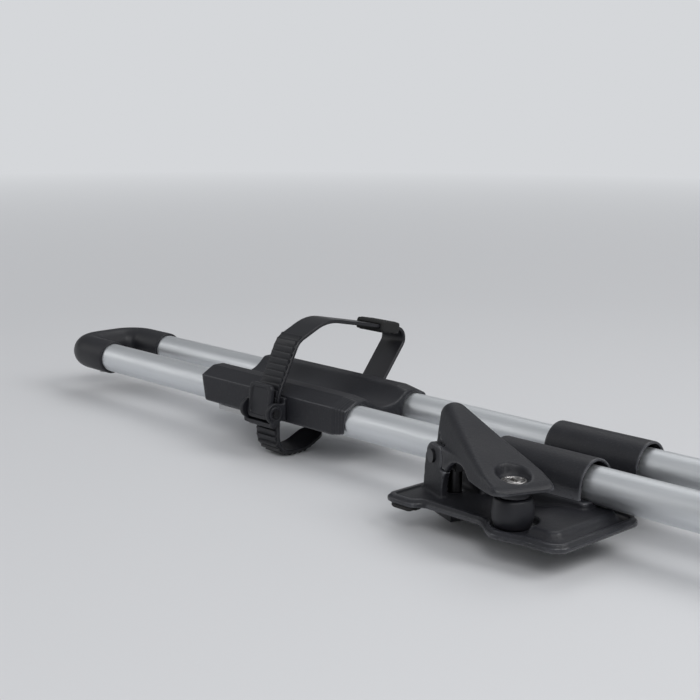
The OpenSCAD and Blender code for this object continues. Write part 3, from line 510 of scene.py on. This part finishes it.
# Foot: plate, rubber pad, tube saddle and lock
def plate_mesh():
    step = 0.8
    low, (x, y, z) = grid((PLATE_REAR, -88, 2), (PLATE_FRONT, 40, 33.5), step)
    u, v = to_lever(x, y)
    post = np.hypot(u - POST_U, v)

    # Outline with a waist in its right edge and a bulge round the post
    wing = rect(x, y, PLATE_REAR, PLATE_RIGHT, PLATE_FRONT, -16, 9)
    outline = join(wing, rect(x, y, PLATE_REAR, PLATE_RIGHT, 76, PLATE_LEFT, 9), 5)
    outline = cut(outline, rect(x, y, -60, -110, 56, -82.8, 2), 4)
    outline = cut(outline, rect(x, y, 2, -110, 56, -77.5, 4), 5)
    outline = join(outline, post - 13.8, 7)

    # Floor, raised bead, bridge under the tubes and sloping platform
    body = slab(outline, z - 3.5, 1.5, 0.8)
    body = join(body, slab(np.abs(outline + 2.6) - 1.3, z - 5.0, 1.3, 0.8), 1.0)
    body = join(body, slab(rect(x, y, -15.5, -38.45, 75, 38.45, 3), z - 7.4, 5.35, 1.4), 3.0)
    platform = rect(x, y, 46, -78, 88, -23, 7) + 0.6 * np.maximum(z - RIM_TOP, 0)
    slope = 0.96 * (z - RIM_TOP - 0.28 * (x - 48))
    platform = meet(slab(platform, z - 5.5, 3.5, 1.3), slope, 1.5)
    platform = cut(platform, post - 12.6, 1.5)
    body = join(body, platform, 1.4)

    # Ears on both sides of the lever, cut by the lever's arch
    leg = poly(u, z, [(-11, 4), (13, 4), (8, PIVOT_Z), (-8, PIVOT_Z)])
    leg = np.minimum(leg, rect(u, z, 0, 4, 22, 20.05, 0.3))
    ear = join(disc(u, z, 0, PIVOT_Z, 7.2), cut(leg, disc(u, z, *ARCH), 0.4), 1.0)
    stop = np.maximum(disc(u, z, 0, PIVOT_Z, 10.59), rect(u, z, -1, LEVER_LOW, 12, 31.9, 0.5))
    body = join(body, slab(np.minimum(ear, stop), np.abs(v) - 11.25, 2, 0.7), 1.5)

    # Seats of the post and the tubes, and holes for the bolt and the pin
    body = cut(body, np.maximum(post - POST_R - 0.05, RIM_TOP - 0.05 - z), 0.5)
    for side in (-TUBE_Y, TUBE_Y):
        body = cut(body, disc(y, z, side, TUBE_Z, TUBE_R + 0.05), 0.6)
    body = cut(body, np.hypot(u, v) - 4.35, 0.6)
    body = cut(body, disc(u, z, 0, PIVOT_Z, 3.05), 0.3)
    return nets(low, step, body)


def pad_mesh():
    step, groove_gap = 0.6, 6
    low, (x, y, z) = grid((PAD_REAR, PAD_RIGHT, 0), (PAD_FRONT, 37.5, 2), step)
    u, v = to_lever(x, y)
    outline = rect(x, y, PAD_REAR, PAD_RIGHT, PAD_FRONT, PAD_LEFT, 6)
    outline = cut(outline, rect(x, y, 0, -110, 60, -71, 4), 4)
    body = slab(outline, z - 1, 1, 0.5)
    across = np.abs((y - PAD_RIGHT) % groove_gap - groove_gap / 2) - 0.9
    groove = np.maximum(across, np.maximum(z - 0.5, np.abs(x - 5) - 20))
    return nets(low, step, cut(cut(body, groove, 0.4), np.hypot(u, v) - 4.7, 0.3))


def mirrored(points):
    """The other half of an outline in Y and Z, in the order that closes it."""
    return [(-y, z) for y, z in points[::-1]]


def saddle_mesh():
    outer, inner, steps = 13.45, 11.95, 24
    over = [(-TUBE_Y - outer, SEAT_TOP)]
    over += arc(-TUBE_Y, TUBE_Z, outer, 180, 0, steps)
    over += [(outer - TUBE_Y, SEAT_TOP + FLANGE_T)]
    under = [(TUBE_Y + inner, SEAT_TOP)]
    under += arc(TUBE_Y, TUBE_Z, inner, 0, 180, steps)
    under += [(TUBE_Y - inner, SEAT_TOP)]
    outline = over + mirrored(over) + under + mirrored(under)
    return extruded(outline, SADDLE_REAR, SADDLE_FRONT, 0.6)


def post_mesh():
    step = 0.5
    low, (u, v, z) = grid((POST_U - 11, -11, RIM_TOP), (POST_U + 11, 11, 20), step)
    across = np.hypot(u - POST_U, v)
    k = np.clip((z - RIM_TOP) / POST_H, 0, 1)
    radius = POST_R - np.where(k < 0.5, 2.0, 1.2) * (2 * k - 1) ** 2
    body = meet(across - radius, np.abs(z - RIM_TOP - POST_H / 2) - POST_H / 2, 1.0)
    # The tongue's way in, and the chamber in which it turns
    slot = slab(rect(u, v, POST_U - 2.4, -4.5, POST_U + 2.4, 4.5, 0.6), z - 18, 4, 0)
    body = cut(body, np.maximum(slot, 13.5 - z), 0.4)
    chamber = np.maximum(across - 4.6, np.abs(z - 15.9) - 2.1)
    return from_lever(nets(low, step, cut(body, chamber, 0.2)))


def core_mesh():
    step, reach = 0.3, 6.6
    low, (u, v, z) = grid((POST_U - reach, -reach, 15.4), (POST_U + reach, reach, 28.6), step)
    across = np.hypot(u - POST_U, v)
    body = slab(across - CORE_R, z - CORE_Z, CORE_H / 2, 0.6)
    # Ring groove, key slot and key hole in its face
    body = cut(body, np.maximum(np.abs(across - 4.6) - 0.4, 27.8 - z), 0.3)
    key = rect(u, v, POST_U - 3.25, -0.7, POST_U + 3.25, 0.7, 0.3)
    body = cut(body, np.maximum(key, 25.4 - z), 0.4)
    body = cut(body, np.maximum(across - 1.5, 26.6 - z), 0.4)
    # Stem and tongue below it
    body = np.minimum(body, np.maximum(across - 1.3, np.abs(z - 18.5) - 2.6))
    tongue = rect(u, v, POST_U - 1.3, -3.9, POST_U + 1.3, 3.9, 0.6)
    tongue = slab(tongue, z - 16.4, 0.8, 0.3)
    return from_lever(nets(low, step, np.minimum(body, tongue)))


def loop_mesh():
    """A round bar swept along the U, with a rounded mouth on each tube."""
    sides, bend_steps = 40, 14
    mouth = [(LOOP_MOUTH, 9.82), (LOOP_MOUTH, 10.7), (-346.25, 11.15), (-347.0, LOOP_R)]
    half_bar = TUBE_Y - LOOP_BEND
    path = [(x, -TUBE_Y, 180, r) for x, r in mouth] + [(-360, -TUBE_Y, 180, LOOP_R)]
    bend = arc(-371, -half_bar, LOOP_BEND, 270, 180, bend_steps)
    ways = np.linspace(180, 90, bend_steps + 1)
    path += [(x, y, way, LOOP_R) for (x, y), way in zip(bend, ways)]
    path += [(-387, 0, 90, LOOP_R)]
    path += [(x, -y, 180 - way, r) for x, y, way, r in path[-2::-1]]
    verts = []
    for x, y, way, r in path:
        a = math.radians(way)
        for k in range(sides):
            t = 2 * math.pi * k / sides
            across = r * math.cos(t)
            place = (x - math.sin(a) * across, y + math.cos(a) * across)
            verts.append((*place, TUBE_Z + r * math.sin(t)))
    return np.array(verts), ring_faces(len(path), sides)


# Wheel holder, strap and buckle
def block_field(x, y, z, x0, x1, play):
    """The block that sits over both tubes, bevelled and ribbed at its front end."""
    half = [(-36.35, 11), (-36.35, 27.5), (-26, HOLDER_TOP)]
    outline = poly(y, z, half + mirrored(half))
    bevel = np.clip((x - x1 + 9) / 9, 0, 1)
    ribs = 0.3 * (0.5 - 0.5 * np.cos(math.pi * (x - x1))) * (bevel > 0)
    ends = np.abs(x - (x0 + x1) / 2) - (x1 - x0) / 2
    return meet(outline + (1.8 - play) * bevel + ribs, ends, 1.6)


def cut_grooves(body, y, z, play):
    """Grooves for both tubes, open below."""
    for side in (-TUBE_Y, TUBE_Y):
        below = np.maximum(np.abs(y - side) - TUBE_R - play, z - TUBE_Z)
        body = cut(body, np.minimum(disc(y, z, side, TUBE_Z, TUBE_R + play), below), 0.6)
    return body


def holder_mesh():
    step, play = 0.55, 0.35
    low, (x, y, z) = grid((HOLDER_REAR, -37, 11), (HOLDER_FRONT, 48, 33), step)
    body = block_field(x, y, z, HOLDER_REAR, HOLDER_FRONT, play)
    rear_slope = -((x - HOLDER_REAR) * 0.978 + (z - HOLDER_TOP) * 0.208)
    body = meet(body, rear_slope, 4.0)
    body = cut(body, disc(y, z, 0, 46, 22), 1.6)
    body = cut_grooves(body, y, z, play)
    # Two lugs with the hole for the strap's pin
    along = np.abs(x - STRAP_X)
    lug = np.minimum(disc(y, z, ANCHOR_Y, TUBE_Z, 5.5), rect(y, z, 35, 13, ANCHOR_Y, 24, 0.5))
    body = join(body, slab(lug, along - 12, 1.5, 0.6), 1.0)
    hole = np.maximum(disc(y, z, ANCHOR_Y, TUBE_Z, 2.55), along - 20)
    return nets(low, step, cut(body, hole, 0.3))


# The strap's middle line in Y and Z, from its pin to its tail, and the radius of each bend
STRAP = [(45.77, 18.5), (74.11, 54), (0, 69), (-24, 58.5), (-40.3, 26.5), (-40.3, -9),
         (-18, -9), (0, -1)]
STRAP_BENDS = [7, 30, 12, 14, 11, 20]
FIRST_TOOTHED_BEND = 3
# Place along the pitch and share of the height, for each row of a tooth
TOOTH = [(0, 0.0), (0.07, 0.9), (0.14, 1.0), (0.3, 0.95), (0.85, 0.2), (0.95, 0.05)]
STRAP_TAIL = 8


def strap_line():
    """Points of the strap's middle line, the length up to each, and where the teeth begin."""
    p = [np.array(q, float) for q in STRAP]
    line = [np.array(q) for q in arc(ANCHOR_Y, 18.5, 3.66, -290, -10, 16)] + [p[0]]
    teeth_at = 0
    for k in range(1, len(p) - 1):
        a, b = p[k - 1] - p[k], p[k + 1] - p[k]
        a, b = a / np.linalg.norm(a), b / np.linalg.norm(b)
        half = math.acos(np.clip(a @ b, -1, 1)) / 2
        r = STRAP_BENDS[k - 1]
        centre = p[k] + (a + b) / np.linalg.norm(a + b) * r / math.sin(half)
        start = p[k] + a * r / math.tan(half) - centre
        end = p[k] + b * r / math.tan(half) - centre
        first = math.atan2(start[1], start[0])
        sweep = (math.atan2(end[1], end[0]) - first + math.pi) % (2 * math.pi) - math.pi
        if k == FIRST_TOOTHED_BEND:
            teeth_at = len(line)
        for i in range(11):
            turn = first + sweep * i / 10
            line.append(centre + r * np.array([math.cos(turn), math.sin(turn)]))
    line = np.array(line + [p[-1]])
    length = np.concatenate([[0], np.cumsum(np.linalg.norm(np.diff(line, axis=0), axis=1))])
    return line, length, length[teeth_at]


def strap_section(lift):
    """The strap's section, across it and out of it, with its toothed face raised to lift."""
    edge, inset, half_t, soft = STRAP_W / 2, 1.3, STRAP_T / 2, 0.5
    return [(-edge, -half_t + soft), (-edge, half_t - soft), (-edge + soft, half_t),
            (-edge + inset, half_t), (-edge + inset + 0.3, half_t + lift),
            (edge - inset - 0.3, half_t + lift), (edge - inset, half_t), (edge - soft, half_t),
            (edge, half_t - soft), (edge, -half_t + soft), (edge - soft, -half_t),
            (-edge + soft, -half_t)]


def strap_mesh():
    line, length, start = strap_line()
    end = length[-1]
    rows = [(s, 0.0) for s in np.arange(0, start, 1.2)]
    while start + TOOTH_PITCH < end - STRAP_TAIL:
        rows += [(start + TOOTH_PITCH * t, rise) for t, rise in TOOTH]
        start += TOOTH_PITCH
    rows += [(s, 0.0) for s in np.linspace(start, end, 9)]

    def on_line(s):
        return np.array([np.interp(s, length, line[:, k]) for k in (0, 1)])

    verts = []
    for s, rise in rows:
        at = on_line(s)
        d = on_line(min(s + 0.6, end)) - on_line(max(s - 0.6, 0))
        out = np.array([d[1], -d[0]]) / np.linalg.norm(d)
        tail = max(0, (s - end + STRAP_TAIL) / STRAP_TAIL)
        narrow = math.sqrt(max(0.12, 1 - tail ** 2))
        section = strap_section(TOOTH_H * rise)
        verts += [(STRAP_X + w * narrow, *(at + out * h)) for w, h in section]
    return np.array(verts), capped_faces(len(rows), len(section))


def rim_pad_mesh():
    """A ribbed pad round the strap, in a frame along its top run and turned into place."""
    step, rib_gap = 0.5, 4.25
    half_x, half_a, half_b = 12, 8.5, 4
    slope = math.atan2(69 - 54, -74.11)
    middle_y, middle_z = 53.57, 58.16
    low, (x, a, b) = grid((STRAP_X - 12.2, -8.6, -4.1), (STRAP_X + 12.2, 8.6, 4.1), step)
    across = x - STRAP_X
    body = slab(rect(a, b, -half_a, -half_b, half_a, half_b, 2.2), across, half_x, 1.6)
    body = cut(body, slab(rect(across, b, -10.05, -1.15, 10.05, 1.15, 0.1), a, 30, 0), 0.3)
    rib = np.maximum(np.abs((a + half_a) % rib_gap - rib_gap / 2) - 0.6, 3.3 - np.abs(b))
    verts, faces = nets(low, step, cut(body, rib, 0.5))
    x, a, b = verts.T
    y = middle_y + a * math.cos(slope) - b * math.sin(slope)
    z = middle_z + a * math.sin(slope) + b * math.cos(slope)
    return np.column_stack([x, y, z]), faces


def buckle_frame_mesh():
    step = 0.4
    low, (x, y, z) = grid((STRAP_X - 13.2, -52.2, 8), (STRAP_X + 13.2, -36.3, 26.6), step)
    wide = np.abs(x - STRAP_X)
    back = slab(rect(x - STRAP_X, z, -13, 12, 13, 26.5, 1), y + 37.6, 1.25, 0.5)
    # Round cheeks with a ring groove
    cheek = rect(y, z, BUCKLE_Y, 12.7, -37.6, 23.3, 0.6)
    cheek = join(disc(y, z, BUCKLE_Y, BUCKLE_Z, 6.3), cheek, 0.8)
    cheek = join(cheek, rect(y, z, -48.55, 9.97, -42.95, 13.8, 0.3), 0.6)
    cheek = slab(cheek, wide - 11.75, 1.25, 0.6)
    ring = np.abs(disc(y, z, BUCKLE_Y, BUCKLE_Z, 4.3)) - 0.4
    cheek = cut(cheek, np.maximum(ring, 12.55 - wide), 0.3)
    body = join(back, cheek, 1.0)
    # Chin across the strap, narrower to its lower edge
    chin = [(-48.55, 11.87), (-43.3, 11.87), (-43.3, 8.07), (-45.75, 8.07), (-48.55, 9.97)]
    chin = slab(poly(y, z, chin), x - STRAP_X, 13, 0.7)
    chin = meet(chin, (wide - 13 + 0.7 * (11 - z)) * 0.82, 0.8)
    body = join(body, chin, 0.8)
    return nets(low, step, cut(body, disc(y, z, BUCKLE_Y, BUCKLE_Z, 1.25), 0.2))


def buckle_lever_mesh():
    step, half = 0.35, 10.1
    low, (x, y, z) = grid((STRAP_X - 10.2, -48.9, 12.8), (STRAP_X + 10.2, -41.8, 35), step)
    across = x - STRAP_X
    lean = math.atan2(2, 15)
    up = (y - BUCKLE_Y) * math.sin(lean) + (z - BUCKLE_Z) * math.cos(lean)
    out = (y - BUCKLE_Y) * math.cos(lean) - (z - BUCKLE_Z) * math.sin(lean)
    grip = slab(rect(across, up, -half, -4.9, half, 16.8, 3.6), out + 1.1, 1.75, 1.2)
    body = join(grip, slab(disc(y, z, BUCKLE_Y, BUCKLE_Z, 2.8), across, half, 0.3), 0.8)
    hollow = slab(rect(across, up, -7.5, -2.4, 7.5, 14.2, 2.6), out + 3.7, 1.7, 0.4)
    body = cut(body, hollow, 0.6)
    return nets(low, step, cut(body, disc(y, z, BUCKLE_Y, BUCKLE_Z, 1.26), 0.2))


# Fork clamp and skewer
def fork_clamp_mesh():
    step, play = 1.0, 0.05
    x0, x1 = AXLE_X - FORK_HALF, AXLE_X + FORK_HALF
    low, (x, y, z) = grid((x0, -48, 11), (x1, 48, 98), step)
    across = x - AXLE_X
    body = cut_grooves(block_field(x, y, z, x0, x1, play), y, z, play)
    pillar = poly(across, z, [(-25, 30), (25, 30), (13, AXLE_Z), (-13, AXLE_Z)])
    body = join(body, slab(pillar, y, 28, 3), 6)
    # Sunk panels on its sides and windows in its front and back
    panel = poly(across, z, [(-15, 42), (15, 42), (8, 66), (-8, 66)])
    body = cut(body, slab(panel, np.abs(y) - 29, 3.5, 1.5), 1.5)
    depth = np.abs(across) - 30 + 0.35 * (z - 30)
    body = cut(body, slab(rect(y, z, -18, 40, 18, 64, 5), depth, 11, 1), 2.0)
    body = join(body, slab(disc(across, z, 0, AXLE_Z, 14), y, 48, 1.2), 5)
    return nets(low, step, cut(body, disc(across, z, 0, AXLE_Z, AXLE_HOLE), 0.4))


def skewer_lever_mesh():
    step = 0.5
    least = (AXLE_X - 9.2, CAM_Y - 8, AXLE_Z - 8.2)
    most = (AXLE_X + 9.2, CAM_Y + 9.2, AXLE_Z + 62.2)
    low, (x, y, z) = grid(least, most, step)
    across, out, up = np.abs(x - AXLE_X), y - CAM_Y, z - AXLE_Z
    # Two cam cheeks and their webs
    cam = slab(np.hypot(out - 1, up) - 8, across - 6.1, 1.75, 0.5)
    web = slab(rect(out, up, -5.5, 0, 1.5, 15, 0.8), across - 6.1, 1.75, 0.4)
    # Paddle with a thumb dish, a round tip and a lean outward
    t = np.clip((up - 14) / 45, 0, 1)
    middle = 4 * t - 2
    dish = 0.7 * np.exp(-((up - 46) / 9) ** 2) * np.clip(1 - (across / 7) ** 2, 0, 1)
    thick = 3.5 - 0.5 * t - dish
    paddle = meet(np.abs(out - middle) - thick, across - 7.85 - 1.15 * t, 3.5)
    paddle = meet(paddle, np.hypot(np.maximum(up - 53, 0), across * 0.75) - 9, 2.0)
    paddle = meet(paddle, np.abs(up - 36.25) - 25.75, 3)
    body = join(join(cam, web, 1.5), paddle, 2.0)
    return nets(low, step, cut(body, np.hypot(out, up) - 2.06, 0.3))


def turned(low_y, high_y, r, step, shape):
    """A piece that is round about the fork axle."""
    least = (AXLE_X - r, low_y, AXLE_Z - r)
    most = (AXLE_X + r, high_y, AXLE_Z + r)
    low, (x, y, z) = grid(least, most, step)
    across, up = x - AXLE_X, z - AXLE_Z
    return nets(low, step, shape(np.hypot(across, up), np.arctan2(up, across), y))


def nut_shape(r, turn, y):
    flute = 0.75 * np.maximum(0, np.cos(12 * turn)) ** 2 * np.clip((y - 59) / 2, 0, 1)
    body = slab(r - 10 + flute, y - 63, 6, 1.2)
    body = cut(body, np.maximum(r - 5.5, 68.2 - y), 0.6)
    return cut(body, r - 2.56, 0.3)


def collar_shape(r, turn, y):
    body = slab(r - 12, y + 60.5, 3.5, 1.0)
    teeth = 0.35 * np.maximum(0, np.cos(36 * turn)) * np.clip(r / 12, 0, 1)
    body = meet(body, y + 57 + teeth * (r > 5), 0.3)
    body = cut(body, np.maximum(np.abs(r - 9) - 0.5, y + 63.4), 0.4)
    return cut(body, r - AXLE_HOLE, 0.3)


def washer_mesh(side):
    """A toothed washer on one face of the fork clamp."""
    def shape(r, turn, y):
        teeth = 0.4 * np.maximum(0, np.cos(40 * turn)) * (r > 6)
        body = meet(slab(r - 14, side * y - 49, 1, 0.5), side * y - 50 + teeth, 0.3)
        return cut(body, r - AXLE_HOLE, 0.3)

    low_y, high_y = sorted((side * 48, side * 50))
    return turned(low_y, high_y, 14, 0.5, shape)


def screw_mesh():
    """A socket head screw, its head's seat at the origin and its shank down."""
    step = 0.35
    low, (x, y, z) = grid((-5.2, -5.2, -3), (5.2, 5.2, 4), step)
    r = np.hypot(x, y)
    body = slab(r - 5.1, z - 1.95, 1.95, 0.6)
    knurl = 0.12 * np.cos(30 * np.arctan2(y, x))
    body = np.maximum(body, np.where(z < 2.8, r - 5.0 - knurl, -1))
    turns = [math.radians(a) for a in (0, 60, 120)]
    flats = [np.abs(x * math.cos(a) + y * math.sin(a)) - 2.4 + 0 * z for a in turns]
    body = cut(body, np.maximum(np.maximum.reduce(flats), 1.9 - z), 0.3)
    return nets(low, step, np.minimum(body, np.maximum(r - 3, np.abs(z + 1.3) - 1.5)))


def flipped(mesh):
    """Upside down."""
    return mesh[0] * np.array([1, -1, -1]), mesh[1]


def about_face(mesh):
    """Turned from the rear end of the tubes to the front end."""
    return moved((mesh[0] * np.array([-1, -1, 1]), mesh[1]), (LOOPS_SUM, 0, 0))


def build_feet(screw):
    lever, plate, pad, saddle = lever_mesh(), plate_mesh(), pad_mesh(), saddle_mesh()
    post, core = post_mesh(), core_mesh()
    screws = copies(screw, [(x, 0, SEAT_TOP + FLANGE_T) for x in SADDLE_SCREWS])
    for end, x in (("rear", 0), ("front", BAR_GAP)):
        at = (x, 0, 0)
        add_piece(f"{end}_lever_moulding", moved(lever, at), "grained_black", f"{end}_lever",
                  f"{end}_clamp_lever", 0.5)
        add_piece(f"{end}_plate_moulding", moved(plate, at), "grained_black", "rail",
                  f"{end}_foot_plate", 0.5)
        add_piece(f"{end}_rubber_pad", moved(pad, at), "rubber", "rail", f"{end}_foot_pad", 0.4)
        add_piece(f"{end}_saddle_moulding", moved(saddle, at), "grained_black", "rail",
                  f"{end}_tube_saddle", sharp=35)
        add_piece(f"{end}_post_moulding", moved(post, at), "smooth_black", "rail",
                  f"{end}_lock_post", 0.6)
        add_piece(f"{end}_lock_barrel", moved(core, at), "lock_metal", f"{end}_lock",
                  f"{end}_lock_core", 0.6)
        add_piece(f"{end}_saddle_screws", moved(screws, at), "steel", "rail",
                  f"{end}_saddle_bolts", 0.6)


def build():
    screw = screw_mesh()
    under = flipped(screw)
    build_feet(screw)
    loop = loop_mesh()
    add_piece("rear_loop_moulding", loop, "smooth_black", "rail", "rear_end_loop", sharp=50)
    add_piece("front_loop_moulding", about_face(loop), "smooth_black", "rail",
              "front_end_loop", sharp=50)
    add_piece("holder_moulding", holder_mesh(), "grained_black", "holder", "wheel_holder", 0.5)
    add_piece("ratchet_strap", strap_mesh(), "strap_black", "holder", "wheel_strap", sharp=32)
    add_piece("rim_cushion", rim_pad_mesh(), "rubber", "holder", "rim_pad", 0.6)
    add_piece("buckle_housing", buckle_frame_mesh(), "smooth_black", "holder",
              "buckle_frame", 0.6)
    add_piece("buckle_grip", buckle_lever_mesh(), "smooth_black", "buckle_grip",
              "buckle_lever", 0.6)
    add_piece("fork_block", fork_clamp_mesh(), "grained_black", "rail", "fork_clamp", 0.5)
    add_piece("skewer_handle", skewer_lever_mesh(), "polished_alloy", "skewer_handle",
              "skewer_lever", 0.6)
    add_piece("skewer_knob", turned(57, 69, 10, 0.45, nut_shape), "smooth_black", "nut",
              "skewer_nut", 0.6)
    add_piece("cam_collar", turned(-64, -57, 12, 0.5, collar_shape), "polished_alloy", "rail",
              "skewer_collar", 0.6)
    add_piece("fork_faces", together([washer_mesh(1), washer_mesh(-1)]), "steel", "rail",
              "fork_washers", 0.6)
    add_piece("holder_screw", moved(under, (-207, 0, 5.4)), "steel", "holder",
              "holder_clamp_screw", 0.6)
    seats = [(AXLE_X - 19, 0, 5.75), (AXLE_X + 19, 0, 5.75)]
    add_piece("fork_screws", copies(under, seats), "steel", "rail", "fork_clamp_screws", 0.6)


# Floor, light and world
PALE, PALE_LEVEL = (0.95, 0.97, 1.0, 1), 0.70
FLOOR_COLOUR = (0.70, 0.705, 0.72, 1)
FADE_FROM, FADE_TO = 0.7, 2.6
AMBIENT = 0.42
# Height of a direction and brightness there: a pale horizon, a dark band, a brighter ceiling
SKY = ((0.06, PALE_LEVEL), (0.14, 0.14), (0.38, 0.14), (0.80, 0.45))


def seen_ray(tree):
    """1 for a ray that shows a surface in the picture, straight or by way of gloss or glass."""
    path = add_node(tree, "ShaderNodeLightPath")
    seen = path.outputs["Is Camera Ray"]
    for other in ("Is Glossy Ray", "Is Transmission Ray"):
        both = add_node(tree, "ShaderNodeMath", operation="MAXIMUM")
        tree.links.new(seen, both.inputs[0])
        tree.links.new(path.outputs[other], both.inputs[1])
        seen = both.outputs["Value"]
    return seen


def add_stage():
    """A pale floor that takes the object's shadow and fades into the backdrop's colour."""
    floor_z = CAD_BOX[0][2] - 0.0005
    bpy.ops.mesh.primitive_plane_add(size=30, location=(0, 0, floor_z))
    floor = bpy.context.object
    floor.name = "floor"
    mat = bpy.data.materials.new("floor")
    mat.use_nodes = True
    tree = mat.node_tree
    shader = tree.nodes["Principled BSDF"]
    shader.inputs["Base Color"].default_value = FLOOR_COLOUR
    shader.inputs["Roughness"].default_value = 0.55
    away = add_node(tree, "ShaderNodeVectorMath", operation="LENGTH")
    tree.links.new(add_node(tree, "ShaderNodeTexCoord").outputs["Object"], away.inputs[0])
    far = add_node(tree, "ShaderNodeMath", operation="MULTIPLY")
    fade = spread(tree, away.outputs["Value"], 0, 1, FADE_FROM, FADE_TO)
    tree.links.new(fade, far.inputs[0])
    tree.links.new(seen_ray(tree), far.inputs[1])
    glow = add_node(tree, "ShaderNodeEmission")
    glow.inputs["Color"].default_value = PALE
    glow.inputs["Strength"].default_value = PALE_LEVEL
    blend = add_node(tree, "ShaderNodeMixShader")
    parts = (far.outputs["Value"], shader.outputs["BSDF"], glow.outputs["Emission"])
    for socket, value in zip(blend.inputs, parts):
        tree.links.new(value, socket)
    tree.links.new(blend.outputs["Shader"], tree.nodes["Material Output"].inputs["Surface"])
    floor.data.materials.append(mat)


def add_light(name, place, aim, size, power):
    data = bpy.data.lights.new(name, "AREA")
    data.shape = "DISK"
    data.size = size
    data.energy = power
    light = bpy.data.objects.new(name, data)
    ray = np.array(aim, float) - np.array(place, float)
    light.location = place
    light.rotation_mode = "QUATERNION"
    light.rotation_quaternion = Vector(ray).to_track_quat("-Z", "Y")
    bpy.context.scene.collection.objects.link(light)


def add_lights():
    add_light("key", (1.3, -1.3, 1.7), (0.1, 0, 0), 1.2, 16)
    add_light("top", (1.3, 0.45, 1.4), (0.1, 0, 0), 1.2, 14)
    add_light("back", (-0.75, 1.15, 1.6), (0.0, 0, 0), 1.3, 4)
    add_light("fill", (-1.6, -1.2, 0.9), (-0.1, 0, 0), 1.2, 5)


def add_world():
    """An even light, shown to seen rays as a sky that changes with height."""
    world = bpy.data.worlds.new("world")
    bpy.context.scene.world = world
    world.use_nodes = True
    tree = world.node_tree
    back = tree.nodes["Background"]
    back.inputs["Color"].default_value = PALE
    height = add_node(tree, "ShaderNodeSeparateXYZ")
    direction = add_node(tree, "ShaderNodeTexCoord").outputs["Generated"]
    tree.links.new(direction, height.inputs["Vector"])
    sky = add_node(tree, "ShaderNodeValToRGB")
    stops = sky.color_ramp.elements
    for place, value in SKY:
        stop = stops.new(place)
        stop.color = (value, value, value, 1)
    stops.remove(stops[0])
    stops.remove(stops[-1])
    tree.links.new(height.outputs["Z"], sky.inputs["Fac"])
    level = add_node(tree, "ShaderNodeMix", data_type="FLOAT")
    level.inputs["A"].default_value = AMBIENT
    tree.links.new(seen_ray(tree), level.inputs["Factor"])
    tree.links.new(sky.outputs["Color"], level.inputs["B"])
    tree.links.new(level.outputs["Result"], back.inputs["Strength"])


bpy.context.scene.view_settings.view_transform = "Standard"
add_camera()
dress_cad_nodes()
build()
add_stage()
add_lights()
add_world()
